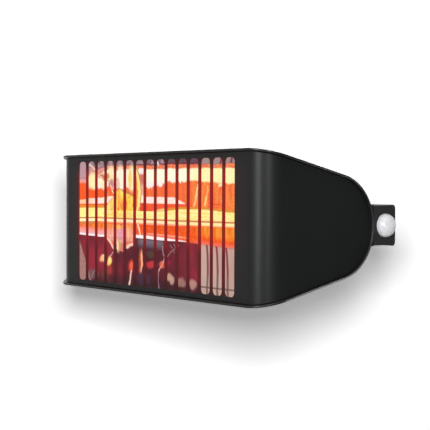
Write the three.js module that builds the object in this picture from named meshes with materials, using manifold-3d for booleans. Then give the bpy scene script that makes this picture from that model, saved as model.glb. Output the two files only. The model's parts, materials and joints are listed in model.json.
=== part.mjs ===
// Wall-mounted infrared patio heater head on a tilting wall rail with a motion sensor.
//
// Millimetres, +Z up. X runs along the heater, the wall is the plane Y = 0 and the front faces -Y.
// The origin is the middle of the wall plate's back face. Sizes inside the head are measured from
// its front rim backwards, as `depth`, and fromRim() turns such a depth into Y.

import * as THREE from 'three';
import { mergeVertices } from 'three/addons/utils/BufferGeometryUtils.js';
import Module from 'manifold-3d';

const wasm = await Module();
wasm.setup();

// ---------------------------------------------------------------- driving dimensions

const fitGap = 0.3;             // between pieces that touch
const degrees = Math.PI / 180;

// head: a tapered sheet wrap that turns round the tail
const headWidth = 414;          // rim to rim
const headHeight = 165;         // at the front rim
const taperAngle = 13.2 * degrees;
const tailRadius = 57.2;        // outside of the rounded tail
const wrapSheet = 2.5;
const rimCornerRadius = 30.5;   // the wrap's front corners, seen from above
const rimOverhang = 4;          // how far the wrap stands proud of the front shell

// front shell with its slots
const shellSheet = 1.5;
const slotCount = 15;
const barWidth = 4.3;
const slotSideMargin = 53.1;    // rim's end to the first slot
const slotEndMargin = 9;        // rim's edge to a slot's end
const slotCornerRadius = 5.2;

// reflector, its mirror ends, and the shield behind it
const mirrorSheet = 1;
const mirrorRimClearance = 1.4; // mirror's front edge to the wrap
const mirrorDepth = 72;         // front rim to the vertex of the trough
const mirrorEndMargin = 4;      // slot window to the mirror end plate
const shieldSheet = 1;
const shieldGap = 7;            // mirror to shield
const shieldHalfFacets = 3;     // facets of the trough, each side of the middle, that it covers

// lamp
const lampDiameter = 16;
const lampWall = 1.2;
const lampHeight = 5;           // axis above the middle of the head
const lampDepth = 42;           // axis behind the front rim
const lampCapLength = 13;
const lampCapDiameter = 20;
const lampCapInset = 5;         // tube end inside its cap
const filamentWidth = 5;
const filamentThickness = 0.8;
const clipSheet = 1.2;
const clipWidth = 7;
const leadDiameter = 2.4;
const leadBend = 9;

// side frames inside the head
const frameSheet = 1.2;
const frameFlange = 11;
const frameSetback = 14.3;      // frame web to the inside of the side panel
const shellScrewDepth = 60;
const shellScrewDiameter = 4;

// terminal block in the head
const terminalLength = 38;
const terminalWidth = 16;
const terminalHeight = 26;
const terminalOffset = 108;     // its middle, along X
const terminalWellRadius = 2.3; // screw wells
const terminalWellDepth = 5;

// wall rail
const wallGap = 55;             // tail to wall
const railHalfLength = 187;
const railDepth = 34.2;
const railHalfHeight = 22.3;
const railFlare = 1.1;          // the rail widens by this at the wall, each side
const railFlareDepth = 9;
const railFlareCorner = 4;
const railFrontCorner = 1.5;
const railWall = 2.5;
const capThickness = 3.7;
const spigotLength = 6;
const spigotHeight = 3.6;
const wallPlateSetback = 19;      // rail's end to the wall plate's end
const wallPlateSheet = 2;
const wallPlateFlange = 12;
const wallHoleSpacing = 260;
const wallHoleDiameter = 5.5;

// hinge between the rail and the head
const hingePlate = 4;
const hingePlateHalfHeight = 23.4;
const hingeOffset = 120;        // middle of each hinge, along X
const pivotDiameter = 6;
const pivotToPlate = 8;         // pivot axis to the hinge plate's front
const lugRadius = 7.3;
const lugThickness = 4;
const earThickness = 3;
const earSpan = 26;             // over the two ears of one hinge
const washerThickness = 1;
const washerDiameter = 13;
const washerGap = 0.15;
const saddleSheet = 3;
const saddleAngle = 13 * degrees;
const saddleScrewAngle = 8 * degrees;
const saddleScrewDiameter = 4;
const boltHeadHeight = 4;
const boltHeadWidth = 10;
const nutHeight = 5;
const plateScrewDiameter = 4;
const plateScrewSetback = 32;   // from the middle of a hinge towards the middle of the rail
const plateScrewHeight = 10;
const railScrewDiameter = 3;

// sensor in the right end cap
const lensRadius = 13.4;
const lensHeight = 10;
const lensWall = 1.2;
const lensFlangeRadius = 14.6;
const lensFlange = 1.5;
const lensDistance = 16.5;      // lens axis to the wall
const holderLength = 10;
const holderWall = 2;
const sensorDiameter = 9.2;
const sensorHeight = 4.4;

// boards and cables
const boardSheet = 1.6;
const boardSetback = 37;        // rail's end to the board's end
const boardLength = 88;
const boardSideGap = 4.3;       // board's edge to the rail's wall
const boardStandoff = 3.2;      // rail's front wall to the board
const boardEdge = 4;            // board's edge to the middle of a boss
const bossRadius = 3;
const boardTerminalSize = [14, 11, 26];
const relaySize = [28, 15, 13];
const relayGap = 6;             // terminal to relay
const inletStart = -76;         // mains terminal's outer end
const inletSize = [30, 14, 24];
const sensorLeadBend = 5;
const cableDiameter = 6;
const grommetBore = cableDiameter + 2 * fitGap;
const grommetDiameter = 11;
const grommetFlangeDiameter = 16;
const grommetFlange = 1.8;
const glandOffset = 140;        // from the middle towards the left end
const glandDiameter = 16;
const glandHexWidth = 20;
const glandHexHeight = 6;
const glandNutHeight = 10;
const glandBore = 7.2;
const glandThread = 6;          // inside the rail

// ---------------------------------------------------------------- derived places

const halfWidth = headWidth / 2;
const tanTaper = Math.tan(taperAngle);
const cosTaper = Math.cos(taperAngle);
const tailCentreDepth = (headHeight / 2 - tailRadius / cosTaper) / tanTaper;
const headDepth = tailCentreDepth + tailRadius;
const fromRim = (depth) => depth - headDepth - wallGap;
const tailCentreY = fromRim(tailCentreDepth);

const shellHalfWidth = halfWidth - rimOverhang;          // outside of the side panels
const shellBackDepth = rimOverhang + shellSheet;
const sidePanelInside = shellHalfWidth - shellSheet;
const windowHalfWidth = halfWidth - slotSideMargin;
const slotPitch = (2 * windowHalfWidth + barWidth) / slotCount;
const slotLength = headHeight - 2 * slotEndMargin;
const frameWeb = sidePanelInside - frameSetback;         // outer face of the frame's web
const mirrorHalfLength = frameWeb - frameSheet - fitGap;
const mirrorEnd = windowHalfWidth + mirrorEndMargin;     // inner face of the mirror end plate

const mirrorFrontDepth = shellBackDepth + mirrorSheet + fitGap;
const innerHalfHeight = (depth, inset) => headHeight / 2 - inset / cosTaper - depth * tanTaper;
const mirrorHalfHeight = innerHalfHeight(mirrorFrontDepth, wrapSheet) - mirrorRimClearance;

const plateBackY = -railDepth - fitGap;
const plateFrontY = plateBackY - hingePlate;
const pivotY = plateFrontY - pivotToPlate;
const railInnerHalfHeight = railHalfHeight - railWall;
const railInnerFrontY = -railDepth + railWall;
const capInside = railHalfLength - capThickness;
const wallPlateHalfLength = railHalfLength - wallPlateSetback;
const boardStart = railHalfLength - boardSetback - boardLength;

// ---------------------------------------------------------------- solids

const toManifold = (geometry) => {
  const bare = geometry.clone();
  bare.deleteAttribute('normal');
  bare.deleteAttribute('uv');
  const merged = mergeVertices(bare, 1e-4);
  return new wasm.Manifold(new wasm.Mesh({
    numProp: 3,
    vertProperties: new Float32Array(merged.attributes.position.array),
    triVerts: new Uint32Array(merged.index.array),
  }));
};

const toGeometry = (manifold) => {
  const mesh = manifold.getMesh();
  const geometry = new THREE.BufferGeometry();
  geometry.setAttribute('position', new THREE.BufferAttribute(new Float32Array(mesh.vertProperties), 3));
  geometry.setIndex(new THREE.BufferAttribute(new Uint32Array(mesh.triVerts), 1));
  geometry.computeVertexNormals();
  return geometry;
};

const curveSegments = 8;
const axes = {
  x: [new THREE.Vector3(0, 1, 0), new THREE.Vector3(0, 0, 1), new THREE.Vector3(1, 0, 0)],
  y: [new THREE.Vector3(-1, 0, 0), new THREE.Vector3(0, 0, 1), new THREE.Vector3(0, 1, 0)],
  z: [new THREE.Vector3(1, 0, 0), new THREE.Vector3(0, 1, 0), new THREE.Vector3(0, 0, 1)],
};

/** Extrudes a shape along an axis between two coordinates. A shape for x is drawn in (y, z),
 *  one for y in (-x, z) and one for z in (x, y). */
function extrude(axis, shape, start, end, segments = curveSegments) {
  const low = Math.min(start, end);
  const depth = Math.abs(end - start);
  const geometry = new THREE.ExtrudeGeometry(shape, { depth, bevelEnabled: false, curveSegments: segments });
  geometry.translate(0, 0, low);
  geometry.applyMatrix4(new THREE.Matrix4().makeBasis(...axes[axis]));
  return toManifold(geometry);
}

/** A lathe profile of [radius, height] points turned round an axis through `centre`. */
function turn(axis, profile, centre, segments = 24, direction = 1) {
  const points = profile.map(([radius, height]) => new THREE.Vector2(radius, height));
  const geometry = new THREE.LatheGeometry(points, segments);
  geometry.rotateX(Math.PI / 2);               // the lathe turns round Y, so stand it on Z
  if (direction < 0) geometry.rotateX(Math.PI);
  geometry.applyMatrix4(new THREE.Matrix4().makeBasis(...axes[axis]));
  geometry.translate(...centre);
  return toManifold(geometry);
}

/** A round bar or disc along an axis between two coordinates; `across` is the centre in the
 *  other two, in X, Y, Z order. */
function rod(axis, radius, start, end, across, segments = 16) {
  const low = Math.min(start, end);
  const length = Math.abs(end - start);
  const centre = { x: [low, ...across], y: [across[0], low, across[1]], z: [...across, low] }[axis];
  return turn(axis, [[0, 0], [radius, 0], [radius, length], [0, length]], centre, segments);
}

function box(x, y, z) {
  const geometry = new THREE.BoxGeometry(Math.abs(x[1] - x[0]), y[1] - y[0], z[1] - z[0]);
  geometry.translate((x[0] + x[1]) / 2, (y[0] + y[1]) / 2, (z[0] + z[1]) / 2);
  return toManifold(geometry);
}

const joined = (solids) => solids.reduce((sum, solid) => sum.add(solid));
const without = (solid, cutters) => cutters.reduce((rest, cutter) => rest.subtract(cutter), solid);
const mirrored = (a, b, side) => (side > 0 ? [a, b] : [-b, -a]);

/** A rectangle with rounded corners, centred on (x, y). */
function roundedRectangle(width, height, radius, x = 0, y = 0) {
  const [left, right, low, high] = [x - width / 2, x + width / 2, y - height / 2, y + height / 2];
  const shape = new THREE.Shape();
  shape.moveTo(left + radius, low);
  shape.lineTo(right - radius, low);
  shape.absarc(right - radius, low + radius, radius, -Math.PI / 2, 0);
  shape.absarc(right - radius, high - radius, radius, 0, Math.PI / 2);
  shape.absarc(left + radius, high - radius, radius, Math.PI / 2, Math.PI);
  shape.absarc(left + radius, low + radius, radius, Math.PI, 1.5 * Math.PI);
  return shape;
}

/** A hexagon's corners, flats `width` apart, as a shape. */
function hexagon(width, y, z) {
  const shape = new THREE.Shape();
  for (let corner = 0; corner < 6; corner += 1) {
    const angle = corner * Math.PI / 3;
    const reach = width / Math.sqrt(3);
    shape[corner ? 'lineTo' : 'moveTo'](y + reach * Math.cos(angle), z + reach * Math.sin(angle));
  }
  return shape;
}

/** A wire or cable along a rounded route of corner points. */
function lead(points, diameter, bend, sides = 6) {
  const path = new THREE.CurvePath();
  const corners = points.map((point) => new THREE.Vector3(...point));
  let from = corners[0];
  for (let i = 1; i < corners.length - 1; i += 1) {
    const corner = corners[i];
    const back = from.clone().sub(corner).normalize().multiplyScalar(bend).add(corner);
    const ahead = corners[i + 1].clone().sub(corner).normalize().multiplyScalar(bend).add(corner);
    path.add(new THREE.LineCurve3(from, back));
    path.add(new THREE.QuadraticBezierCurve3(back, corner, ahead));
    from = ahead;
  }
  path.add(new THREE.LineCurve3(from, corners[corners.length - 1]));
  const section = new THREE.Shape();
  for (let side = 0; side < sides; side += 1) {
    const angle = side * 2 * Math.PI / sides;
    const [x, y] = [diameter / 2 * Math.cos(angle), diameter / 2 * Math.sin(angle)];
    section[side ? 'lineTo' : 'moveTo'](x, y);
  }
  const steps = Math.ceil(path.getLength() / bend);
  return toManifold(new THREE.ExtrudeGeometry(section, { steps, extrudePath: path, bevelEnabled: false }));
}

// ---------------------------------------------------------------- outlines

/** Side view of the head, drawn in (y, z): taper, round tail, taper, `inset` inside the wrap. */
function headOutline(inset, startDepth) {
  const radius = tailRadius - inset;
  const turnAngle = Math.PI / 2 - taperAngle;
  const startHalf = innerHalfHeight(startDepth, inset);
  const shape = new THREE.Shape();
  shape.moveTo(fromRim(startDepth), startHalf);
  shape.lineTo(fromRim(startDepth), -startHalf);
  shape.absarc(tailCentreY, 0, radius, -turnAngle, turnAngle);
  return shape;
}
const tailSegments = 24;
const beyond = 5;                // how far a cutting shape runs past what it cuts
const headSolid = (inset, startDepth, x0, x1, segments = tailSegments) =>
  extrude('x', headOutline(inset, startDepth), x0, x1, segments);

/** Plan of the head, drawn in (x, y): straight sides and two rounded front corners, running
 *  `past` the tail. */
function planOutline(inset, past) {
  const reach = halfWidth - inset;
  const radius = rimCornerRadius - inset;
  const front = fromRim(inset);
  const rear = fromRim(headDepth) + past;
  const shape = new THREE.Shape();
  shape.moveTo(reach, rear);
  shape.lineTo(-reach, rear);
  shape.absarc(-reach + radius, front + radius, radius, Math.PI, 1.5 * Math.PI);
  shape.absarc(reach - radius, front + radius, radius, 1.5 * Math.PI, 2 * Math.PI);
  return shape;
}
const planSolid = (inset, past = beyond) =>
  extrude('z', planOutline(inset, past), -headHeight, headHeight, 12);

/** Corner points of the mirror trough's section, as [y, z], for a parabola cut into facets. */
const facetShares = [0.13, 0.36, 0.58, 0.79, 1];
const troughDepth = (share) => mirrorDepth - (mirrorDepth - mirrorFrontDepth) * share * share;
const mirrorFlatDepth = troughDepth(facetShares[0]);
function mirrorPoints() {
  const shares = [...facetShares.map((share) => -share).reverse(), ...facetShares];
  return shares.map((share) => [fromRim(troughDepth(share)), mirrorHalfHeight * share]);
}

/** Moves an open line of [y, z] points sideways, with mitred corners. */
function offsetLine(points, distance) {
  const directions = points.slice(1).map(([y, z], i) => {
    const [dy, dz] = [y - points[i][0], z - points[i][1]];
    const length = Math.hypot(dy, dz);
    return [dy / length, dz / length];
  });
  return points.map(([y, z], i) => {
    const before = directions[Math.max(i - 1, 0)];
    const after = directions[Math.min(i, directions.length - 1)];
    const normal = [-(before[1] + after[1]), before[0] + after[0]];
    const scale = distance / (1 + before[0] * after[0] + before[1] * after[1]);
    return [y + normal[0] * scale, z + normal[1] * scale];
  });
}

function polygon(points) {
  return new THREE.Shape(points.map(([a, b]) => new THREE.Vector2(a, b)));
}

/** A bent sheet's section: the line and its copy one thickness further in. */
const sheetSection = (points, thickness) =>
  polygon([...points, ...offsetLine(points, thickness).reverse()]);

/** Side view of the rail: a box whose end at the wall flares out and is rounded. */
function railOutline() {
  const wallY = -fitGap;
  const flared = railHalfHeight + railFlare;
  const r = railFlareCorner;
  const shape = new THREE.Shape();
  shape.moveTo(wallY, flared - r);
  shape.absarc(wallY - r, flared - r, r, 0, Math.PI / 2);
  shape.bezierCurveTo(-railFlareDepth / 2 - r, flared, -railFlareDepth / 2 - r, railHalfHeight,
    -railFlareDepth - r, railHalfHeight);
  shape.absarc(-railDepth + railFrontCorner, railHalfHeight - railFrontCorner, railFrontCorner,
    Math.PI / 2, Math.PI);
  shape.absarc(-railDepth + railFrontCorner, -railHalfHeight + railFrontCorner, railFrontCorner,
    Math.PI, 1.5 * Math.PI);
  shape.lineTo(-railFlareDepth - r, -railHalfHeight);
  shape.bezierCurveTo(-railFlareDepth / 2 - r, -railHalfHeight, -railFlareDepth / 2 - r, -flared,
    wallY - r, -flared);
  shape.absarc(wallY - r, -flared + r, r, 1.5 * Math.PI, 2 * Math.PI);
  return shape;
}

// ---------------------------------------------------------------- materials

const finishes = {
  powderCoat: { color: 0x2b2b2b, roughness: 0.6, metalness: 0.3 },
  mirror: { color: 0xe8e4dc, roughness: 0.12, metalness: 1 },
  steel: { color: 0xb4b6b8, roughness: 0.4, metalness: 1 },
  quartz: { color: 0xffb45a, roughness: 0.05, metalness: 0 },
  glow: { color: 0xffd25a, roughness: 0.6, metalness: 0 },
  ceramic: { color: 0xf0ece2, roughness: 0.7, metalness: 0 },
  railPlastic: { color: 0x2a2b2c, roughness: 0.55, metalness: 0 },
  lensPlastic: { color: 0xf2f2f5, roughness: 0.35, metalness: 0 },
  rubber: { color: 0x1c1c1c, roughness: 0.85, metalness: 0 },
  board: { color: 0x1f5a38, roughness: 0.5, metalness: 0 },
  silicone: { color: 0xd8d4c8, roughness: 0.6, metalness: 0 },
  relay: { color: 0x1f3f78, roughness: 0.4, metalness: 0 },
};

const heater = new THREE.Group();
const head = new THREE.Group();
const rail = new THREE.Group();
heater.add(head, rail);

function place(group, name, solid, finish) {
  const material = new THREE.MeshStandardMaterial(finishes[finish]);
  const mesh = new THREE.Mesh(toGeometry(solid), material);
  mesh.name = name;
  group.add(mesh);
}

const sides = [{ side: -1, name: 'left' }, { side: 1, name: 'right' }];

// ---------------------------------------------------------------- head: wrap and front shell

const shellScrewX = frameWeb + frameFlange / 2;

/** A round bar square to the head's underside; heights are measured inwards from its surface. */
function underRod(x, depth, radius, from, to, segments = 12) {
  const geometry = new THREE.CylinderGeometry(radius, radius, to - from, segments);
  geometry.translate(0, (from + to) / 2, 0);   // the cylinder stands on Y
  geometry.rotateX(Math.PI / 2);
  geometry.rotateX(taperAngle);                // the underside rises towards the tail
  geometry.translate(x, fromRim(depth), -innerHalfHeight(depth, 0));
  return toManifold(geometry);
}

/** A bar square to the tail at a height angle; radii are measured from the tail's centre. */
function tailRod(x, angle, radius, from, to, segments = 12) {
  const geometry = new THREE.CylinderGeometry(radius, radius, to - from, segments);
  geometry.translate(0, (from + to) / 2, 0);
  geometry.rotateX(angle);
  geometry.translate(x, tailCentreY, 0);
  return toManifold(geometry);
}

const saddleScrewPlaces = sides.flatMap(({ side }) =>
  [-saddleScrewAngle, saddleScrewAngle].map((angle) => [side * hingeOffset, angle]));

function wrapShell() {
  const outer = headSolid(0, 0, -halfWidth, halfWidth);
  const inner = headSolid(wrapSheet, -beyond, -headWidth, headWidth);
  const sheet = outer.subtract(inner).intersect(planSolid(0));
  const screwHole = shellScrewDiameter / 2 + fitGap;
  const saddleHole = saddleScrewDiameter / 2 + fitGap;
  return without(sheet, [
    ...sides.map(({ side }) => underRod(side * shellScrewX, shellScrewDepth, screwHole, -beyond, beyond)),
    ...saddleScrewPlaces.map(([x, angle]) =>
      tailRod(x, angle, saddleHole, tailRadius - beyond, tailRadius + beyond)),
    rod('y', grommetDiameter / 2 + fitGap, fromRim(headDepth - beyond), fromRim(headDepth + beyond), [0, 0]),
  ]);
}
place(head, 'wrap_shell', wrapShell(), 'powderCoat');

function frontShell() {
  const bentSheet = planSolid(rimOverhang).subtract(planSolid(rimOverhang + shellSheet, 2 * beyond));
  const shell = bentSheet.intersect(headSolid(wrapSheet + fitGap, -beyond, -headWidth, headWidth));
  const slotWidth = slotPitch - barWidth;
  const slots = Array.from({ length: slotCount }, (_, i) => {
    const x = (i - (slotCount - 1) / 2) * slotPitch;
    const outline = roundedRectangle(slotWidth, slotLength, slotCornerRadius, x, 0);
    return extrude('y', outline, fromRim(rimOverhang - 1), fromRim(shellBackDepth + 1), 3);
  });
  return without(shell, slots);
}
place(head, 'front_shell', frontShell(), 'powderCoat');

// ---------------------------------------------------------------- head: frames and optics

function sideFrame(side) {
  const [inner, outer] = [frameWeb - frameSheet, frameWeb + frameFlange];
  const outside = headSolid(wrapSheet + fitGap, -beyond, ...mirrored(inner, outer, side), 16);
  const hollow = headSolid(wrapSheet + fitGap + frameSheet, -2 * beyond,
    ...mirrored(frameWeb, outer + beyond, side), 16);
  const tray = outside.subtract(hollow).intersect(planSolid(rimOverhang + shellSheet + fitGap));
  const screwHole = shellScrewDiameter / 2 + fitGap;
  return tray.subtract(underRod(side * shellScrewX, shellScrewDepth, screwHole, -beyond, 2 * beyond));
}
for (const { side, name } of sides) place(head, `side_frame_${name}`, sideFrame(side), 'steel');

const leadHole = leadDiameter / 2 + 1.2;
const leadOutX = mirrorEnd + mirrorSheet + fitGap + lampCapLength + leadBend;
const leadHoleCutter = (side) => rod('y', leadHole, fromRim(mirrorDepth - 2 * beyond),
  fromRim(mirrorDepth + shieldGap + 2 * beyond), [side * leadOutX, lampHeight]);

function reflector() {
  const trough = extrude('x', sheetSection(mirrorPoints(), mirrorSheet), -mirrorHalfLength, mirrorHalfLength);
  const fitted = trough.intersect(planSolid(rimOverhang + shellSheet + fitGap));
  return without(fitted, sides.map(({ side }) => leadHoleCutter(side)));
}
place(head, 'reflector', reflector(), 'mirror');

function reflectorEnd(side) {
  const outline = polygon(offsetLine(mirrorPoints(), mirrorSheet + fitGap));
  const plate = extrude('x', outline, ...mirrored(mirrorEnd, mirrorEnd + mirrorSheet, side));
  const [start, end] = mirrored(mirrorEnd - 1, mirrorEnd + mirrorSheet + 1, side);
  const opening = rod('x', lampDiameter / 2 + fitGap, start, end, [fromRim(lampDepth), lampHeight]);
  return plate.subtract(opening);
}
for (const { side, name } of sides) place(head, `reflector_end_${name}`, reflectorEnd(side), 'mirror');

function heatShield() {
  const middle = facetShares.length;
  const covered = mirrorPoints().slice(middle - shieldHalfFacets, middle + shieldHalfFacets);
  const line = offsetLine(covered, -shieldGap - shieldSheet);
  const sheet = extrude('x', sheetSection(line, shieldSheet), -mirrorHalfLength, mirrorHalfLength);
  return without(sheet, sides.map(({ side }) => leadHoleCutter(side)));
}
place(head, 'heat_shield', heatShield(), 'steel');

// ---------------------------------------------------------------- head: lamp

const lampY = fromRim(lampDepth);
const capStart = mirrorEnd + mirrorSheet + fitGap;       // cap's inner face
const tubeHalfLength = capStart + lampCapInset;

function ring(axis, outerRadius, innerRadius, start, end, across, segments = 24) {
  const body = rod(axis, outerRadius, start, end, across, segments);
  return body.subtract(rod(axis, innerRadius, start - 1, end + 1, across, segments));
}

place(head, 'lamp_tube', ring('x', lampDiameter / 2, lampDiameter / 2 - lampWall,
  -tubeHalfLength, tubeHalfLength, [lampY, lampHeight], 28), 'quartz');

function lampFilament() {
  const bore = lampDiameter / 2 - lampWall;
  const ribbon = box([-tubeHalfLength, tubeHalfLength],
    [lampY - filamentThickness / 2, lampY + filamentThickness / 2],
    [lampHeight - filamentWidth / 2, lampHeight + filamentWidth / 2]);
  const supports = [-0.6, -0.2, 0.2, 0.6].map((share) => {
    const x = share * windowHalfWidth;
    return rod('x', bore - fitGap, x - 0.4, x + 0.4, [lampY, lampHeight], 12);
  });
  return joined([ribbon, ...supports]);
}
place(head, 'lamp_filament', lampFilament(), 'glow');

function lampCap(side) {
  const body = rod('x', lampCapDiameter / 2, ...mirrored(capStart, capStart + lampCapLength, side),
    [lampY, lampHeight], 24);
  const socket = rod('x', lampDiameter / 2 + fitGap,
    ...mirrored(capStart - 1, capStart + lampCapInset + fitGap, side), [lampY, lampHeight], 28);
  return body.subtract(socket);
}
for (const { side, name } of sides) place(head, `lamp_cap_${name}`, lampCap(side), 'ceramic');

/** Spring clip round the lamp cap, standing on the reflector's flat middle facet. */
function lampClip(side) {
  const inner = lampCapDiameter / 2 + fitGap;
  const outer = inner + clipSheet;
  const mouth = 55 * degrees;                  // half of the clip's mouth, at the front
  const clip = new THREE.Shape();
  clip.absarc(lampY, lampHeight, outer, Math.PI + mouth, 3 * Math.PI - mouth);
  clip.absarc(lampY, lampHeight, inner, 3 * Math.PI - mouth, Math.PI + mouth, true);
  const start = capStart + (lampCapLength - clipWidth) / 2;
  const [x0, x1] = mirrored(start, start + clipWidth, side);
  const footY = fromRim(mirrorFlatDepth - mirrorSheet) - fitGap;
  const stem = box([x0, x1], [lampY + inner + clipSheet / 2, footY],
    [lampHeight - clipSheet, lampHeight + clipSheet]);
  const footHalf = mirrorHalfHeight * facetShares[0] - mirrorSheet;
  const foot = box([x0, x1], [footY - clipSheet, footY], [-footHalf, footHalf]);
  return joined([extrude('x', clip, x0, x1, 14), stem, foot]);
}
for (const { side, name } of sides) place(head, `lamp_clip_${name}`, lampClip(side), 'steel');

// ---------------------------------------------------------------- head: wiring

const terminalFrontY = fromRim(mirrorDepth + shieldGap + shieldSheet) + fitGap;
const terminalMiddleY = terminalFrontY + terminalWidth / 2;
const leadRow = terminalHeight / 3;

function terminalBlock() {
  const back = terminalFrontY + terminalWidth;
  const body = box([terminalOffset - terminalLength / 2, terminalOffset + terminalLength / 2],
    [terminalFrontY, back], [-terminalHeight / 2, terminalHeight / 2]);
  const wells = [-1, 1].flatMap((end) => [-leadRow, 0, leadRow].map((z) =>
    rod('y', terminalWellRadius, back - terminalWellDepth, back + 1,
      [terminalOffset + end * terminalLength / 4, z], 12)));
  return without(body, wells);
}
place(head, 'terminal_block', terminalBlock(), 'ceramic');
for (const { side, name } of sides) {
  const terminalEnd = terminalOffset + side * (terminalLength / 2 + fitGap);
  place(head, `lamp_lead_${name}`, lead([
    [side * (capStart + lampCapLength + fitGap), lampY, lampHeight],
    [side * leadOutX, lampY, lampHeight],
    [side * leadOutX, terminalMiddleY, lampHeight],
    [side * (leadOutX - 2 * leadBend), terminalMiddleY, leadRow],
    [terminalEnd, terminalMiddleY, leadRow],
  ], leadDiameter, leadBend), 'silicone');
}

const tailGrommetY = fromRim(headDepth - wrapSheet);     // inside of the tail, on the axis
place(head, 'head_cable', lead([
  [terminalOffset - terminalLength / 2 - fitGap, terminalMiddleY, -leadRow],
  [0, terminalMiddleY, -leadRow],
  [0, terminalMiddleY + 3 * cableDiameter, 0],
  [0, tailGrommetY, 0],
], cableDiameter, 2 * cableDiameter), 'silicone');

/** A grommet round the cable, its groove between two faces at y0 and y1. */
function grommet(y0, y1) {
  const bore = grommetBore / 2;
  const flange = grommetFlangeDiameter / 2;
  const neck = grommetDiameter / 2;
  return turn('y', [
    [bore, y0 - grommetFlange], [flange, y0 - grommetFlange], [flange, y0], [neck, y0],
    [neck, y1], [flange, y1], [flange, y1 + grommetFlange], [bore, y1 + grommetFlange],
    [bore, y0 - grommetFlange],
  ], [0, 0, 0], 16);
}
/** How far a round surface falls away under the edge of a flat disc that rests on it. */
const sag = (surfaceRadius, discRadius) =>
  surfaceRadius - Math.sqrt(surfaceRadius ** 2 - discRadius ** 2);
place(head, 'tail_grommet', grommet(
  fromRim(headDepth - wrapSheet) - sag(tailRadius - wrapSheet, grommetFlangeDiameter / 2) - fitGap,
  fromRim(headDepth) + fitGap), 'rubber');

// ---------------------------------------------------------------- head: fasteners and hinge saddles

/** A pan head screw: `bar` makes a round bar of a radius between two heights, and the surface
 *  under the head is at `face`. */
function panScrew(bar, diameter, face, length, hand = 1) {
  const headLength = 0.55 * diameter;
  const pan = bar(0.9 * diameter, ...mirrored(face - headLength, face, hand));
  const shank = bar(diameter / 2, ...mirrored(face - headLength / 2, face + length, hand));
  return pan.add(shank);
}
for (const { side, name } of sides) {
  const bar = (radius, from, to) => underRod(side * shellScrewX, shellScrewDepth, radius, from, to);
  const length = wrapSheet + 2 * frameSheet + 2;
  place(head, `shell_screw_${name}`, panScrew(bar, shellScrewDiameter, -fitGap, length), 'steel');
}

/** Pivot axis in (y, z), and the saddle's outside radius on the tail. */
const saddleInner = tailRadius + fitGap;
const saddleOuter = saddleInner + saddleSheet;

function earOutline() {
  const shape = new THREE.Shape();
  const foot = saddleOuter * Math.sin(saddleAngle);
  const footY = tailCentreY + saddleInner * Math.cos(saddleAngle) - 1;
  shape.moveTo(footY, foot);
  shape.lineTo(footY, -foot);
  shape.absarc(pivotY, 0, lugRadius, -Math.PI / 2 + 0.2, Math.PI / 2 - 0.2);
  return shape;
}

function headSaddle(side) {
  const x = side * hingeOffset;
  const [outer, inner] = [earSpan / 2, earSpan / 2 - earThickness];
  const ears = [-1, 1].map((hand) => {
    const [x0, x1] = mirrored(inner, outer, hand);
    return extrude('x', earOutline(), x + x0, x + x1, 6);
  });
  const strip = new THREE.Shape();
  strip.absarc(tailCentreY, 0, saddleOuter, -saddleAngle, saddleAngle);
  strip.absarc(tailCentreY, 0, saddleInner, saddleAngle, -saddleAngle, true);
  const tail = rod('x', saddleInner, x - earSpan, x + earSpan, [tailCentreY, 0], 48);
  const body = joined([extrude('x', strip, x - inner - 1, x + inner + 1, 8), ...ears]);
  return without(body, [
    tail,
    rod('x', pivotDiameter / 2 + fitGap, x - earSpan, x + earSpan, [pivotY, 0], 16),
    ...[-saddleScrewAngle, saddleScrewAngle].map((angle) =>
      tailRod(x, angle, saddleScrewDiameter / 2 + fitGap, tailRadius - beyond, saddleOuter + beyond)),
  ]);
}
for (const { side, name } of sides) place(head, `hinge_saddle_${name}`, headSaddle(side), 'powderCoat');

// the saddle screws go in from inside the tail
saddleScrewPlaces.forEach(([x, angle], i) => {
  const bar = (radius, from, to) => tailRod(x, angle, radius, from, to);
  const face = tailRadius - wrapSheet - fitGap - sag(tailRadius - wrapSheet, saddleScrewDiameter);
  const length = saddleOuter - face - fitGap;
  place(head, `saddle_screw_${i + 1}`, panScrew(bar, saddleScrewDiameter, face, length), 'steel');
});

// ---------------------------------------------------------------- rail: plate, body, caps

function wallPlate() {
  const halfHeight = railInnerHalfHeight - fitGap;
  const block = box([-wallPlateHalfLength, wallPlateHalfLength], [-wallPlateFlange, 0],
    [-halfHeight, halfHeight]);
  const channel = block.subtract(box([-headWidth, headWidth], [-wallPlateFlange - 1, -wallPlateSheet],
      [-halfHeight + wallPlateSheet, halfHeight - wallPlateSheet]));
  const wallHoles = sides.map(({ side }) =>
    rod('y', wallHoleDiameter / 2, -wallPlateSheet - 1, 1, [side * wallHoleSpacing / 2, 0], 24));
  const screwHole = railScrewDiameter / 2 + fitGap;
  const tapped = railScrewPlaces.map((x) => rod('z', screwHole, -halfHeight - 1,
    -halfHeight + wallPlateSheet + 1, [x, railScrewY], 12));
  return without(channel, [...wallHoles, ...tapped]);
}
const railScrewPlaces = [-wallHoleSpacing / 4, wallHoleSpacing / 4];
const railScrewY = -wallPlateFlange / 2 - wallPlateSheet;
place(rail, 'wall_plate', wallPlate(), 'steel');

const boardHalfHeight = railInnerHalfHeight - boardSideGap;
const boardBackY = railInnerFrontY + boardStandoff;
const bossPlaces = [boardEdge, boardLength - boardEdge].flatMap((along) =>
  [-boardHalfHeight + boardEdge, boardHalfHeight - boardEdge].map((z) => [boardStart + along, z]));

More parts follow.
